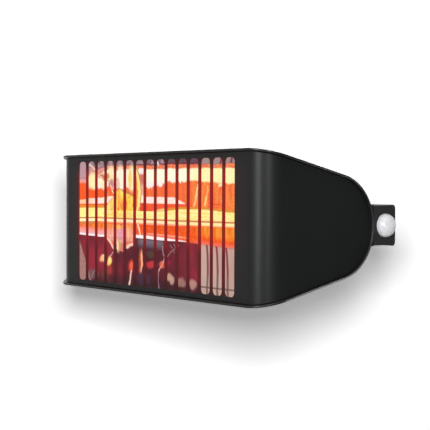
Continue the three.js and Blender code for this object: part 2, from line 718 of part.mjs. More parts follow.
function railBody() {
  const halfLength = capInside - fitGap;
  const body = extrude('x', railOutline(), -halfLength, halfLength, 4);
  const cavity = box([-headWidth, headWidth], [railInnerFrontY, 1],
    [-railInnerHalfHeight, railInnerHalfHeight]);
  const bosses = bossPlaces.map(([x, z]) =>
    rod('y', bossRadius, railInnerFrontY - 1, boardBackY - fitGap, [x, z], 12));
  const glandBoss = rod('z', glandBossRadius, -railInnerHalfHeight - 1, -railInnerHalfHeight + glandThread,
    [-glandOffset, glandY], 24);
  const shelf = box([inletStart, inletStart + inletSize[0]],
    [railInnerFrontY - 1, boardBackY - fitGap], [-inletSize[2] / 3, inletSize[2] / 3]);
  return without(joined([body.subtract(cavity), ...bosses, glandBoss, shelf]), [
    rod('y', grommetDiameter / 2 + fitGap, -railDepth - 1, railInnerFrontY + 1, [0, 0]),
    rod('z', glandDiameter / 2 + fitGap, -railHalfHeight - 5, 0, [-glandOffset, glandY], 20),
    ...railScrewPlaces.map((x) => rod('z', railScrewDiameter / 2 + fitGap, -railHalfHeight - 5,
      -railInnerHalfHeight + 1, [x, railScrewY], 12)),
    ...plateScrewPlaces.map(([x, z]) =>
      rod('y', plateScrewDiameter / 2 + fitGap, -railDepth - 1, railInnerFrontY + 1, [x, z], 12)),
  ]);
}
const glandBossRadius = glandDiameter / 2 + railWall;
const glandY = -(wallPlateFlange + fitGap + glandBossRadius);
const plateScrewPlaces = sides.flatMap(({ side }) =>
  [-1, 1].map((hand) => [side * (hingeOffset - plateScrewSetback), hand * plateScrewHeight]));
place(rail, 'rail_body', railBody(), 'railPlastic');

function endCap(side) {
  const plate = extrude('x', railOutline(), ...mirrored(capInside, railHalfLength, side), 4);
  const spigotOuter = railInnerHalfHeight - fitGap;
  const spigots = [-1, 1].map((hand) => {
    const z = mirrored(spigotOuter - spigotHeight, spigotOuter, hand);
    return box(mirrored(capInside - spigotLength, capInside + 1, side),
      [railInnerFrontY + fitGap, -wallPlateFlange / 4], z);
  });
  return joined([plate, ...spigots]);
}
const lensHole = rod('x', lensRadius + fitGap, capInside - 1, railHalfLength + 1, [-lensDistance, 0], 40);
place(rail, 'end_cap_left', endCap(-1), 'railPlastic');
place(rail, 'end_cap_right', endCap(1).subtract(lensHole), 'railPlastic');

// ---------------------------------------------------------------- rail: hinge

const lugInner = earSpan / 2 + washerThickness + 2 * washerGap;

function hingePlateWithLugs() {
  const outline = roundedRectangle(2 * railHalfLength, 2 * hingePlateHalfHeight, 2);
  const plate = extrude('y', outline, plateFrontY, plateBackY, 4);
  const lugShape = new THREE.Shape();
  lugShape.moveTo(plateFrontY + 1, -lugRadius);
  lugShape.lineTo(plateFrontY + 1, lugRadius);
  lugShape.absarc(pivotY, 0, lugRadius, Math.PI / 2, 1.5 * Math.PI);
  const lugs = sides.flatMap(({ side }) => [-1, 1].map((hand) => {
    const [x0, x1] = mirrored(lugInner, lugInner + lugThickness, hand);
    return extrude('x', lugShape, side * hingeOffset + x0, side * hingeOffset + x1, 6);
  }));
  return without(joined([plate, ...lugs]), [
    rod('x', pivotDiameter / 2 + fitGap, -headWidth, headWidth, [pivotY, 0], 16),
    rod('y', grommetDiameter / 2 + fitGap, plateFrontY - 1, plateBackY + 1, [0, 0]),
    ...plateScrewPlaces.map(([x, z]) =>
      rod('y', plateScrewDiameter / 2 + fitGap, plateFrontY - 1, plateBackY + 1, [x, z], 12)),
  ]);
}
place(rail, 'hinge_plate', hingePlateWithLugs(), 'powderCoat');

const boltHalf = lugInner + lugThickness;
for (const { side, name } of sides) {
  const x = side * hingeOffset;
  const boltStart = x - boltHalf - fitGap;
  const boltEnd = x + boltHalf + fitGap + nutHeight + 1.5;
  const hexHead = extrude('x', hexagon(boltHeadWidth, pivotY, 0), boltStart - boltHeadHeight, boltStart);
  place(rail, `pivot_bolt_${name}`, hexHead.add(
    rod('x', pivotDiameter / 2, boltStart - 1, boltEnd, [pivotY, 0], 16)), 'steel');
  const nut = extrude('x', hexagon(boltHeadWidth, pivotY, 0), x + boltHalf + fitGap,
    x + boltHalf + fitGap + nutHeight);
  place(rail, `pivot_nut_${name}`, nut.subtract(
    rod('x', pivotDiameter / 2 + fitGap, x, x + 2 * boltHalf, [pivotY, 0], 16)), 'steel');
}
sides.flatMap(({ side }) => [-1, 1].map((hand) => [side, hand])).forEach(([side, hand], i) => {
  const [x0, x1] = mirrored(earSpan / 2 + washerGap, earSpan / 2 + washerGap + washerThickness, hand);
  place(rail, `friction_washer_${i + 1}`, ring('x', washerDiameter / 2, pivotDiameter / 2 + fitGap,
    side * hingeOffset + x0, side * hingeOffset + x1, [pivotY, 0], 12), 'rubber');
});

const plateGrommetFront = plateFrontY - fitGap;
const plateGrommetBack = railInnerFrontY + fitGap;
place(rail, 'plate_grommet', grommet(plateGrommetFront, plateGrommetBack), 'rubber');

// ---------------------------------------------------------------- rail: sensor

const lensSteps = 6;
function sensorLens() {
  const arc = (radius, height, base) => Array.from({ length: lensSteps + 1 }, (_, i) => {
    const angle = i / lensSteps * Math.PI / 2;
    return [radius * Math.cos(angle), base + height * Math.sin(angle)];
  });
  const base = railHalfLength;
  const flangeFace = capInside - fitGap;
  const outer = arc(lensRadius, lensHeight, base);
  const inner = arc(lensRadius - lensWall, lensHeight - lensWall, base).reverse();
  outer[lensSteps][0] = 0;
  inner[0][0] = 0;
  return turn('x', [
    [lensRadius - lensWall, flangeFace - lensFlange],
    [lensFlangeRadius, flangeFace - lensFlange],
    [lensFlangeRadius, flangeFace],
    [lensRadius, flangeFace],
    ...outer,
    ...inner,
    [lensRadius - lensWall, flangeFace - lensFlange],
  ], [0, -lensDistance, 0], 24);
}
place(rail, 'sensor_lens', sensorLens(), 'lensPlastic');

const holderEnd = capInside - 2 * fitGap - lensFlange;
place(rail, 'sensor_holder', ring('x', lensFlangeRadius, lensFlangeRadius - holderWall,
  holderEnd - holderLength, holderEnd, [-lensDistance, 0], 36), 'railPlastic');

const sensorBoardFace = holderEnd - holderLength - fitGap;
place(rail, 'sensor_board', box([sensorBoardFace - boardSheet, sensorBoardFace],
  [-lensDistance - lensFlangeRadius + 1, -wallPlateSheet - fitGap],
  [-boardHalfHeight, boardHalfHeight]), 'board');
const sensorSeat = sensorBoardFace + fitGap;
const sensorBrim = 0.8;
const sensorAcross = [-lensDistance, 0];
place(rail, 'motion_sensor', joined([
  rod('x', sensorDiameter / 2, sensorSeat, sensorSeat + sensorBrim, sensorAcross, 24),
  rod('x', sensorDiameter / 2 - sensorBrim, sensorSeat, sensorSeat + sensorHeight, sensorAcross, 24),
]), 'steel');

// ---------------------------------------------------------------- rail: boards and wiring

const boardFaceY = boardBackY + boardSheet;
place(rail, 'control_board', box([boardStart, boardStart + boardLength], [boardBackY, boardFaceY],
  [-boardHalfHeight, boardHalfHeight]), 'board');
const partY = boardFaceY + fitGap;
const boardTerminalStart = boardStart + boardEdge;
const relayStart = boardTerminalStart + boardTerminalSize[0] + relayGap;
/** A block on the control board from x, its size along the rail, out of the board and upwards. */
const boardBlock = (x, [length, depth, height]) =>
  box([x, x + length], [partY, partY + depth], [-height / 2, height / 2]);
place(rail, 'board_terminal', boardBlock(boardTerminalStart, boardTerminalSize), 'board');
place(rail, 'power_relay', boardBlock(relayStart, relaySize), 'relay');

place(rail, 'mains_terminal', box([inletStart, inletStart + inletSize[0]],
  [boardBackY, boardBackY + inletSize[1]], [-inletSize[2] / 2, inletSize[2] / 2]), 'ceramic');

const wireY = partY + boardTerminalSize[1] / 2;
const wireRow = boardTerminalSize[2] / 2 - cableDiameter;
place(rail, 'mains_cable', lead([
  [inletStart + inletSize[0] + fitGap, wireY, wireRow],
  [boardTerminalStart - fitGap, wireY, wireRow],
], cableDiameter, leadBend), 'silicone');

const grommetMouthY = plateGrommetBack + grommetFlange;
place(rail, 'switched_cable', lead([
  [boardTerminalStart - fitGap, wireY, -wireRow],
  [2.2 * cableDiameter, wireY, -wireRow],
  [0, wireY + 4, 0],
  [0, plateFrontY, 0],
], cableDiameter, cableDiameter), 'silicone');

const sensorLeadX = boardStart + boardLength - 2 * boardEdge;
const sensorLeadY = partY + 2 * sensorLeadBend;
place(rail, 'sensor_lead', lead([
  [sensorLeadX, partY, 0],
  [sensorLeadX, sensorLeadY, 0],
  [sensorBoardFace - boardSheet - fitGap, sensorLeadY, 0],
], leadDiameter, sensorLeadBend), 'silicone');

/** The cable's short run across the hinge, on the pivot axis's middle. */
const flexStartY = plateFrontY - fitGap;
place(head, 'hinge_cable', rod('y', cableDiameter / 2, tailGrommetY + fitGap, flexStartY, [0, 0], 12),
  'silicone');

const glandFlangeZ = -railHalfHeight - fitGap;
function cableGland() {
  const hex = hexagon(glandHexWidth, -glandOffset, glandY);
  const body = extrude('z', hex, glandFlangeZ - glandHexHeight, glandFlangeZ);
  const thread = rod('z', glandDiameter / 2, glandFlangeZ - 1, -railInnerHalfHeight + glandThread,
    [-glandOffset, glandY], 20);
  const nutRadius = glandHexWidth / 2 - 1.5;
  const nose = turn('z', [
    [0, 0], [nutRadius - 2.5, 0], [nutRadius, glandNutHeight / 2], [nutRadius, glandNutHeight + 1],
    [0, glandNutHeight + 1],
  ], [-glandOffset, glandY, glandFlangeZ - glandHexHeight - glandNutHeight], 20);
  const bore = rod('z', glandBore / 2, -headHeight, 0, [-glandOffset, glandY], 16);
  return joined([body, thread, nose]).subtract(bore);
}
place(rail, 'cable_gland', cableGland(), 'railPlastic');

// ---------------------------------------------------------------- rail: fasteners

// the plate screws go in from inside the rail
plateScrewPlaces.forEach(([x, z], i) => {
  const bar = (radius, from, to) => rod('y', radius, from, to, [x, z], 12);
  const length = railWall + hingePlate + fitGap;
  place(rail, `plate_screw_${i + 1}`, panScrew(bar, plateScrewDiameter, -railInnerFrontY - fitGap,
    length, -1), 'steel');
});

railScrewPlaces.forEach((x, i) => {
  const bar = (radius, from, to) => rod('z', radius, from, to, [x, railScrewY], 12);
  place(rail, `rail_screw_${i + 1}`, panScrew(bar, railScrewDiameter,
    -railHalfHeight - railFlare - fitGap, railFlare + railWall + wallPlateSheet + 3), 'steel');
});

export default heater;
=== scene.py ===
"""Wall-mounted infrared heater head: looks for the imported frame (Blender 4.5)."""
import json
import math

import bmesh
import bpy
from mathutils import Matrix, Vector

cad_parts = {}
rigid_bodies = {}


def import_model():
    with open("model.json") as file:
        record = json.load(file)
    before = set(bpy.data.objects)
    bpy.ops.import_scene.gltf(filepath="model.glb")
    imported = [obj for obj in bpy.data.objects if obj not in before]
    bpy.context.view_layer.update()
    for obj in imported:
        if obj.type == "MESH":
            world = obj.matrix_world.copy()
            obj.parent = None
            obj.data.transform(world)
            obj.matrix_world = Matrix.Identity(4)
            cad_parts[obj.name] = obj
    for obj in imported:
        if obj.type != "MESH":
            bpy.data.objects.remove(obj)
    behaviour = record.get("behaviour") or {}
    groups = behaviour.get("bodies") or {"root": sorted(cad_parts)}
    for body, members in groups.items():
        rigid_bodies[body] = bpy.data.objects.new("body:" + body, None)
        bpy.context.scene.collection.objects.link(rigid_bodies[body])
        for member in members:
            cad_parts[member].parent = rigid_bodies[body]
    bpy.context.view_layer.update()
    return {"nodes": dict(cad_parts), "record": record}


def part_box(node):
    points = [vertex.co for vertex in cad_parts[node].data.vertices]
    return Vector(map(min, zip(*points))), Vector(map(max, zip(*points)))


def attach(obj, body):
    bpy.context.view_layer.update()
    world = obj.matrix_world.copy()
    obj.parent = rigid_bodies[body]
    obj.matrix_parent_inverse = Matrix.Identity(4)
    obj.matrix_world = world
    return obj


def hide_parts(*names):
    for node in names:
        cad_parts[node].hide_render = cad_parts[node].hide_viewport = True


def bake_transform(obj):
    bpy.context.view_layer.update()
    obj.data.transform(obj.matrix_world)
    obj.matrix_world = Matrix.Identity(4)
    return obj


for old in list(bpy.data.objects):
    bpy.data.objects.remove(old)

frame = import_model()
nodes = frame["nodes"]

# ---------------------------------------------------------------- places taken from the frame
MM = 0.001
TO_MM = 1000.0
RIM_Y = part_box("wrap_shell")[0].y                 # front rim
FRONT_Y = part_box("front_shell")[0].y              # face of the slotted front
TUBE_LOW, TUBE_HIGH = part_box("lamp_tube")
LAMP_Z = (TUBE_LOW.z + TUBE_HIGH.z) / 2
LENS_LOW, LENS_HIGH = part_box("sensor_lens")
LENS_Y = (LENS_LOW.y + LENS_HIGH.y) / 2

# in millimetres
WINDOW_HALF_WIDTH = 153.9          # slotted window
WINDOW_HALF_HEIGHT = 73.5
LENS_RING_STEP = 2.1               # facets inside the dome
LENS_SPOKES = 10.0


# ---------------------------------------------------------------- node helper
class Graph:
    """Short names for the nodes of one material."""

    def __init__(self, name, **constants):
        self.mat = bpy.data.materials.new(name)
        self.mat.use_nodes = True
        self.tree = self.mat.node_tree
        self.shader = self.tree.nodes["Principled BSDF"]
        for socket, value in constants.items():
            self.shader.inputs[socket.replace("_", " ")].default_value = value

    def node(self, kind, **settings):
        made = self.tree.nodes.new(kind)
        for key, value in settings.items():
            setattr(made, key, value)
        return made

    def put(self, socket, value):
        if isinstance(value, bpy.types.NodeSocket):
            self.tree.links.new(value, socket)
        else:
            socket.default_value = value

    def math(self, operation, a, b=0.0, clamp=False):
        made = self.node("ShaderNodeMath", operation=operation, use_clamp=clamp)
        for socket, value in zip(made.inputs, (a, b)):
            self.put(socket, value)
        return made.outputs[0]

    def add(self, a, b):
        return self.math("ADD", a, b)

    def mul(self, a, b):
        return self.math("MULTIPLY", a, b)

    def sub(self, a, b):
        return self.math("SUBTRACT", a, b)

    def div(self, a, b, clamp=False):
        return self.math("DIVIDE", a, b, clamp)

    def most(self, a, b):
        return self.math("MAXIMUM", a, b)

    def size(self, value):
        return self.math("ABSOLUTE", value)

    def length(self, a, b):
        return self.math("SQRT", self.add(self.mul(a, a), self.mul(b, b)))

    def both(self, *shares):
        """All the shares multiplied."""
        made = shares[0]
        for share in shares[1:]:
            made = self.mul(made, share)
        return made

    def span(self, value, low, high, to_low=0.0, to_high=1.0, smooth=True):
        """Maps low..high to to_low..to_high, clamped."""
        made = self.node("ShaderNodeMapRange", clamp=True)
        made.interpolation_type = "SMOOTHSTEP" if smooth else "LINEAR"
        for name, item in (("Value", value), ("From Min", low), ("From Max", high),
                           ("To Min", to_low), ("To Max", to_high)):
            self.put(made.inputs[name], item)
        return made.outputs["Result"]

    def ramp(self, value, stops, low, high):
        """A colour ramp whose stops are (value, colour), between low and high."""
        made = self.node("ShaderNodeValToRGB")
        elements = made.color_ramp.elements
        for place, colour in sorted(stops, key=lambda stop: stop[0]):
            elements.new((place - low) / (high - low)).color = (*colour, 1.0)
        elements.remove(elements[0])
        elements.remove(elements[len(elements) - 1])
        self.put(made.inputs["Fac"], self.span(value, low, high, smooth=False))
        return made.outputs["Color"]

    def mix(self, fac, a, b, blend="MIX"):
        made = self.node("ShaderNodeMix", data_type="RGBA", blend_type=blend)
        self.put(made.inputs[0], fac)
        for socket, value in ((made.inputs[6], a), (made.inputs[7], b)):
            if isinstance(value, tuple) and len(value) == 3:
                value = (*value, 1.0)
            self.put(socket, value)
        return made.outputs[2]

    def over(self, colour, tint, *shares):
        """The tint laid over the colour, as far as all the shares let it."""
        return self.mix(self.both(*shares), colour, tint)

    def vector(self, x, y, z):
        made = self.node("ShaderNodeCombineXYZ")
        for socket, value in zip(made.inputs, (x, y, z)):
            self.put(socket, value)
        return made.outputs[0]

    def coords(self):
        return self.node("ShaderNodeTexCoord").outputs["Object"]

    def split(self, vector):
        made = self.node("ShaderNodeSeparateXYZ")
        self.put(made.inputs[0], vector)
        return made.outputs

    def split_mm(self):
        return [self.mul(part, TO_MM) for part in self.split(self.coords())]

    def scaled(self, vector, scale):
        made = self.node("ShaderNodeVectorMath", operation="MULTIPLY")
        self.put(made.inputs[0], vector)
        made.inputs[1].default_value = scale
        return made.outputs[0]

    def noise(self, vector, scale, detail=2.0, roughness=0.5):
        made = self.node("ShaderNodeTexNoise")
        for name, value in (("Vector", vector), ("Scale", scale), ("Detail", detail),
                            ("Roughness", roughness)):
            self.put(made.inputs[name], value)
        return made.outputs["Fac"]

    def cells(self, vector, scale):
        made = self.node("ShaderNodeTexVoronoi")
        self.put(made.inputs["Vector"], vector)
        made.inputs["Scale"].default_value = scale
        return made.outputs["Distance"]

    def bump(self, height, distance, strength, below=None):
        made = self.node("ShaderNodeBump")
        made.inputs["Strength"].default_value = strength
        made.inputs["Distance"].default_value = distance
        self.put(made.inputs["Height"], height)
        if below is not None:
            self.put(made.inputs["Normal"], below)
        return made.outputs["Normal"]

    def colour(self, value):
        self.put(self.shader.inputs["Base Color"], value)

    def roughness(self, value):
        self.put(self.shader.inputs["Roughness"], value)

    def normal(self, value):
        self.put(self.shader.inputs["Normal"], value)

    def glow(self, colour, strength):
        self.put(self.shader.inputs["Emission Color"], colour)
        self.put(self.shader.inputs["Emission Strength"], strength)


# ---------------------------------------------------------------- plain materials
def coat_texture(g, p):
    """Grain and orange peel of a powder coat; gives its slow clouds."""
    peel = g.bump(g.noise(p, 420.0), 0.05 * MM, 0.5)
    g.normal(g.bump(g.noise(p, 1900.0, 2.0, 0.6), 0.02 * MM, 0.5, peel))
    return g.noise(p, 14.0, 3.0)


def powder_coat():
    g = Graph("powder coat", Specular_IOR_Level=0.4)
    p = g.coords()
    cloud = coat_texture(g, p)
    dust = g.span(g.noise(p, 900.0, 4.0, 0.7), 0.6, 0.85)
    base = g.mix(cloud, (0.0060, 0.0066, 0.0065), (0.0090, 0.0097, 0.0095))
    g.colour(g.over(base, (0.022, 0.022, 0.021), dust, 0.25))
    g.roughness(g.add(0.30, g.mul(cloud, 0.10)))
    return g.mat


def moulded(name, dark, light, grain_scale=1500.0, roughness=0.45, specular=0.25):
    """Moulded plastic or rubber with an eroded grain."""
    g = Graph(name, Specular_IOR_Level=specular)
    p = g.coords()
    cloud = g.noise(p, 25.0, 3.0)
    grain = g.noise(p, grain_scale, 3.0, 0.65)
    pits = g.cells(p, grain_scale * 0.6)
    g.colour(g.mix(g.add(g.mul(cloud, 0.6), g.mul(grain, 0.4)), dark, light))
    g.roughness(g.add(roughness, g.mul(grain, 0.15)))
    g.normal(g.bump(g.add(grain, g.mul(pits, 0.5)), 0.03 * MM, 0.6))
    return g.mat


def plated_steel():
    g = Graph("plated steel", Metallic=1.0)
    p = g.coords()
    fine = g.noise(g.scaled(p, (300.0, 3000.0, 3000.0)), 1.0)
    tint = g.mix(g.noise(p, 60.0, 3.0), (0.42, 0.43, 0.45), (0.62, 0.62, 0.60))
    g.colour(g.over(tint, (0.30, 0.30, 0.31), fine, 0.4))
    g.roughness(g.add(0.26, g.mul(fine, 0.2)))
    g.normal(g.bump(fine, 0.01 * MM, 0.5))
    return g.mat


def steatite():
    g = Graph("steatite", Specular_IOR_Level=0.35)
    p = g.coords()
    cloud = g.noise(p, 90.0, 4.0)
    specks = g.span(g.noise(p, 1400.0, 1.0), 0.68, 0.74)
    base = g.mix(cloud, (0.66, 0.62, 0.54), (0.80, 0.77, 0.70))
    g.colour(g.over(base, (0.35, 0.31, 0.26), specks, 0.5))
    g.roughness(g.add(0.55, g.mul(cloud, 0.2)))
    g.normal(g.bump(g.noise(p, 1100.0, 3.0), 0.03 * MM, 0.5))
    return g.mat


def circuit_board():
    g = Graph("circuit board", Roughness=0.35)
    x, y, z = g.split(g.coords())
    track = g.node("ShaderNodeTexBrick", offset=0.5)
    g.put(track.inputs["Vector"], g.vector(g.add(x, y), z, 0.0))
    track.inputs["Scale"].default_value = 160.0
    track.inputs["Mortar Size"].default_value = 0.06
    g.colour(g.mix(track.outputs["Fac"], (0.012, 0.10, 0.035), (0.03, 0.20, 0.07)))
    g.normal(g.bump(track.outputs["Fac"], 0.04 * MM, 0.6))
    return g.mat


def cable_sheath():
    g = Graph("cable sheath", Specular_IOR_Level=0.3)
    p = g.coords()
    weave = g.cells(p, 900.0)
    g.colour(g.mix(g.noise(p, 120.0, 3.0), (0.40, 0.36, 0.30), (0.58, 0.54, 0.46)))
    g.roughness(g.add(0.5, g.mul(weave, 0.2)))
    g.normal(g.bump(weave, 0.05 * MM, 0.6))
    return g.mat


def lens_plastic():
    """Milky dome: the inside facets show faintly through it."""
    g = Graph("milky lens", Roughness=0.30, Specular_IOR_Level=0.4, Coat_Weight=0.15,
              Coat_Roughness=0.07, Subsurface_Weight=0.5, Subsurface_Scale=0.006,
              Subsurface_Radius=(1.0, 1.0, 1.0))
    p = g.coords()
    _, y, z = g.split(p)
    across = g.sub(y, LENS_Y)
    radius = g.length(across, z)
    angle = g.math("ARCTAN2", z, across)
    ring = g.math("PINGPONG", g.mul(radius, TO_MM), LENS_RING_STEP)
    spoke = g.math("PINGPONG", g.mul(angle, LENS_SPOKES / math.pi), 1.0)
    lines = g.most(g.span(ring, 0.22, 0.0), g.both(g.span(spoke, 0.10, 0.0), g.span(radius, 0.002, 0.004)))
    base = g.mix(g.noise(p, 160.0), (0.88, 0.88, 0.93), (0.92, 0.92, 0.96))
    g.colour(g.over(base, (0.72, 0.72, 0.78), lines, 0.22))
    g.normal(g.bump(lines, 0.04 * MM, 0.25))
    return g.mat


# ---------------------------------------------------------------- groups of the lit mirror
class Group(Graph):
    """A node group with number inputs and one number output."""

    def __init__(self, name, *inputs):
        self.tree = bpy.data.node_groups.new(name, "ShaderNodeTree")
        for item in inputs:
            self.tree.interface.new_socket(item, in_out="INPUT", socket_type="NodeSocketFloat")
        self.tree.interface.new_socket("Share", in_out="OUTPUT", socket_type="NodeSocketFloat")
        self.given = [self.node("NodeGroupInput").outputs[item] for item in inputs]

    def close(self, value):
        self.put(self.node("NodeGroupOutput").inputs[0], value)
        return self.tree


def spot_group():
    """1 inside an ellipse at S, Z, 0 outside; Bend bows it towards +X."""
    g = Group("spot", "Along", "Up", "S", "Z", "Wide", "High", "Soft", "Bend")
    along, up, at_s, at_z, wide, high, soft, bend = g.given
    dz = g.div(g.sub(up, at_z), high)
    ds = g.sub(g.sub(along, at_s), g.mul(g.sub(1.0, g.mul(dz, dz)), bend))
    far = g.length(g.div(ds, wide), dz)
    return g.close(g.span(far, g.add(1.0, soft), g.sub(1.0, soft)))


def stroke_group():
    """1 on a stroke between two places, 0 away from it."""
    g = Group("stroke", "Along", "Up", "From S", "From Z", "To S", "To Z", "Half")
    along, up, from_s, from_z, to_s, to_z, half = g.given
    ds, dz = g.sub(to_s, from_s), g.sub(to_z, from_z)
    ps, pz = g.sub(along, from_s), g.sub(up, from_z)
    share = g.div(g.add(g.mul(ps, ds), g.mul(pz, dz)), g.add(g.mul(ds, ds), g.mul(dz, dz)), clamp=True)
    far = g.length(g.sub(ps, g.mul(share, ds)), g.sub(pz, g.mul(share, dz)))
    return g.close(g.span(far, g.mul(half, 1.7), g.mul(half, 0.5)))


SPOT = spot_group()
STROKE = stroke_group()

# ---------------------------------------------------------------- painted reflections of the lamp and the room on the lit mirror
MAUVE = (0.42, 0.28, 0.31)
PLUM = (0.085, 0.024, 0.034)
CRIMSON = (0.33, 0.036, 0.055)
EMBER = (0.93, 0.115, 0.045)
ORANGE = (0.95, 0.175, 0.055)
AMBER = (0.96, 0.38, 0.08)
YELLOW = (0.97, 0.84, 0.23)
PALE_YELLOW = (0.96, 0.91, 0.38)
WHITE_HOT = (0.98, 0.98, 0.76)
CREAM = (1.0, 0.84, 0.50)
ROSE_WHITE = (1.0, 0.85, 0.82)
SALMON = (0.78, 0.20, 0.14)
BEIGE = (0.50, 0.31, 0.26)

# Places are in millimetres: Z runs up, and S along the front. S is X at SLANT_FROM behind the
# rim, and slides along by SLANT for each millimetre deeper.
SLANT = 1.42
SLANT_FROM = 7.0

LIGHT_SOFT = 0.35                     # how far a spot's edge fades to each side, as a share of its size
STROKE_SHARE = 0.9                    # how far a stroke covers what is under it
ARCH_S, ARCH_Z = -73.0, 41.0          # top of the mottled arch of painted reflection
ARCH_LEFT, ARCH_RIGHT = 0.85, 0.30    # how steeply it falls
FOLD_Z, FOLD_BOW = 36.0, 7.0          # middle of the bowed fold, and how far it bows
BARS_S, BARS_HALF_STEP = 111.0, 8.9   # the bars' reflections
MIRROR_GLOW = (0.93, 0.99)            # glow of the painted reflections, from the darkest part to the brightest
TUBE_GLOW = 0.97
FILAMENT_GLOW = 2.5
# painted red glow of the slotted front: on the window, more on the inner faces, and a faint halo round it
COAT_GLOW, COAT_GLOW_BEHIND = 0.85, 0.35
HALO_GLOW = 0.045

# Slopes: (S, value) stops.
LOW_EDGE = (          # where the lamp's glow ends
    (-120.0, 19.6), (-25.0, 18.0), (-20.0, 8.0), (-4.0, 11.2), (18.0, 15.4), (60.0, 18.2), (84.0, 19.0),
    (103.0, 18.3), (150.0, 16.8))
RIM_DEPTH = (         # height of the painted warm rim of glow below that edge
    (-120.0, 3.6), (-25.0, 3.0), (-20.0, 1.8), (-4.0, 2.0), (10.0, 4.5), (30.0, 3.0), (60.0, 2.4),
    (84.0, 3.0), (103.0, 2.0), (150.0, 3.4))
BRIGHT_EDGE = (       # lower edge of the painted bright band
    (-25.0, 41.0), (15.0, 42.0), (32.0, 47.5), (52.0, 48.0), (62.0, 48.5), (78.0, 50.0), (92.0, 49.0),
    (108.0, 48.0), (150.0, 46.0))
BRIGHT_RAG = ((-20.0, 16.0), (60.0, 12.0), (80.0, 4.0))          # how uneven that edge is
# the painted pale band's two edges, then how far the mirror's top edge drops
PALE_TOP = ((-156.0, 26.4), (-130.0, 28.6), (-112.0, 29.0), (-90.0, 31.0), (47.0, 30.4), (72.0, 22.0))
PALE_FOOT = ((-156.0, 20.4), (-110.0, 20.8), (-90.0, 21.6))
TOP_DROP = ((-156.0, 16.5), (-143.0, 14.5), (-128.0, 7.0), (-112.0, 3.0), (-96.0, 0.0))
STREAK_Z = (          # middle of the painted pale streak below the lamp
    (-156.0, -16.3), (-131.0, -18.3), (-114.0, -19.7), (-25.0, -19.9), (18.0, -20.9), (57.0, -22.0),
    (83.0, -23.3), (117.0, -25.2), (150.0, -27.0))
# the streak's half height, then how far crimson takes over from plum below it
STREAK_HALF = ((-156.0, 0.6), (-60.0, 0.8), (-32.0, 1.5), (20.0, 1.3), (60.0, 0.1))
CRIMSON_SHARE = (
    (-88.0, 1.0), (-76.0, 0.1), (-66.0, 0.6), (-52.0, 0.3), (-30.0, 0.05), (5.0, 0.0), (36.0, 0.35),
    (70.0, 0.55), (84.0, 0.9))
# lower edge of the bag of light under the lamp, then how far the tube's pattern is raised
BAG_FLOOR = ((-98.0, -24.0), (-84.0, -36.0), (-62.0, -40.0), (-54.0, -34.0), (-38.0, -29.5))
TUBE_RISE = ((-115.0, 2.3), (60.0, 2.0), (150.0, 2.1))

# Lines of the tube's mirrored lower edge: (Z where it starts, Z where it is full, colour).
LAMP_LINES = (
    (4.6, 4.1, (0.50, 0.18, 0.05)), (3.2, 2.6, (1.0, 0.86, 0.50)), (-0.6, -1.3, (0.66, 0.26, 0.07)),
    (-3.2, -4.2, ORANGE))

# Strokes: (from, to, half width, colour).
GLOW_STREAKS = (            # painted reflections of the glow: upright streaks beside the ends of the slots
    ((87.0, 21.0), (93.0, 45.0), 1.5, (1.0, 0.66, 0.30)),
    ((110.0, 28.0), (110.5, 42.0), 1.2, (1.0, 0.46, 0.15)),
    ((108.0, 22.0), (109.0, 30.0), 1.8, (1.0, 0.62, 0.20)),
    ((141.0, 26.0), (141.5, 40.0), 1.5, (1.0, 0.55, 0.18)),
    ((132.0, 44.0), (139.0, 46.0), 1.6, CREAM),
    ((116.0, 23.5), (136.0, 22.6), 0.6, (0.70, 0.10, 0.03)),
)
# painted reflections along creases of the upper mirror
UPPER_CREASE_REFLECTIONS = (
    ((-138.0, 72.0), (-120.0, 62.0), 0.9, (1.0, 0.66, 0.60)),
    ((-112.0, 58.0), (-96.0, 50.0), 0.6, (0.55, 0.14, 0.09)),
    ((-91.0, 45.0), (-84.0, 33.0), 0.9, CREAM),
    ((-95.0, 36.0), (-101.0, 21.0), 0.7, (0.62, 0.42, 0.12)),
    ((-66.0, 39.0), (-58.0, 33.0), 0.7, (0.60, 0.24, 0.16)),
    ((-56.0, 38.0), (-41.0, 30.0), 0.8, (0.62, 0.26, 0.08)),
    ((-84.0, 62.0), (-76.0, 48.0), 0.5, (1.0, 0.95, 0.85)),
)
# painted reflections along creases of the lower mirror
LOWER_CREASE_REFLECTIONS = (
    ((-98.0, -24.0), (-84.0, -36.5), 1.2, (1.0, 0.62, 0.48)),
    ((-54.0, -34.0), (-38.0, -29.0), 1.5, (1.0, 0.66, 0.50)),
    ((-84.0, -41.0), (-96.0, -48.0), 0.7, (0.62, 0.34, 0.36)),
    ((-42.0, -60.0), (-46.0, -76.0), 1.1, (0.95, 0.62, 0.52)),
    ((-30.0, -4.0), (-24.0, -18.0), 1.3, (1.0, 0.72, 0.66)),
    ((22.0, -30.0), (27.0, -42.0), 0.7, (0.46, 0.26, 0.28)),
    ((27.0, -43.0), (14.0, -58.0), 0.9, (0.70, 0.34, 0.32)),
    ((14.0, -58.0), (15.0, -76.0), 0.9, (0.30, 0.18, 0.22)),
    ((34.0, -40.0), (56.0, -27.0), 0.6, (0.34, 0.17, 0.18)),
    ((46.0, -26.0), (52.0, -38.0), 0.6, (0.40, 0.22, 0.22)),
    ((40.0, -27.0), (47.0, -36.0), 0.5, (0.34, 0.16, 0.18)),
    ((-122.0, -60.0), (-134.0, -76.0), 0.8, (0.34, 0.20, 0.22)),
    ((8.0, 76.0), (13.0, 67.5), 1.2, (0.85, 0.78, 0.82)),
)

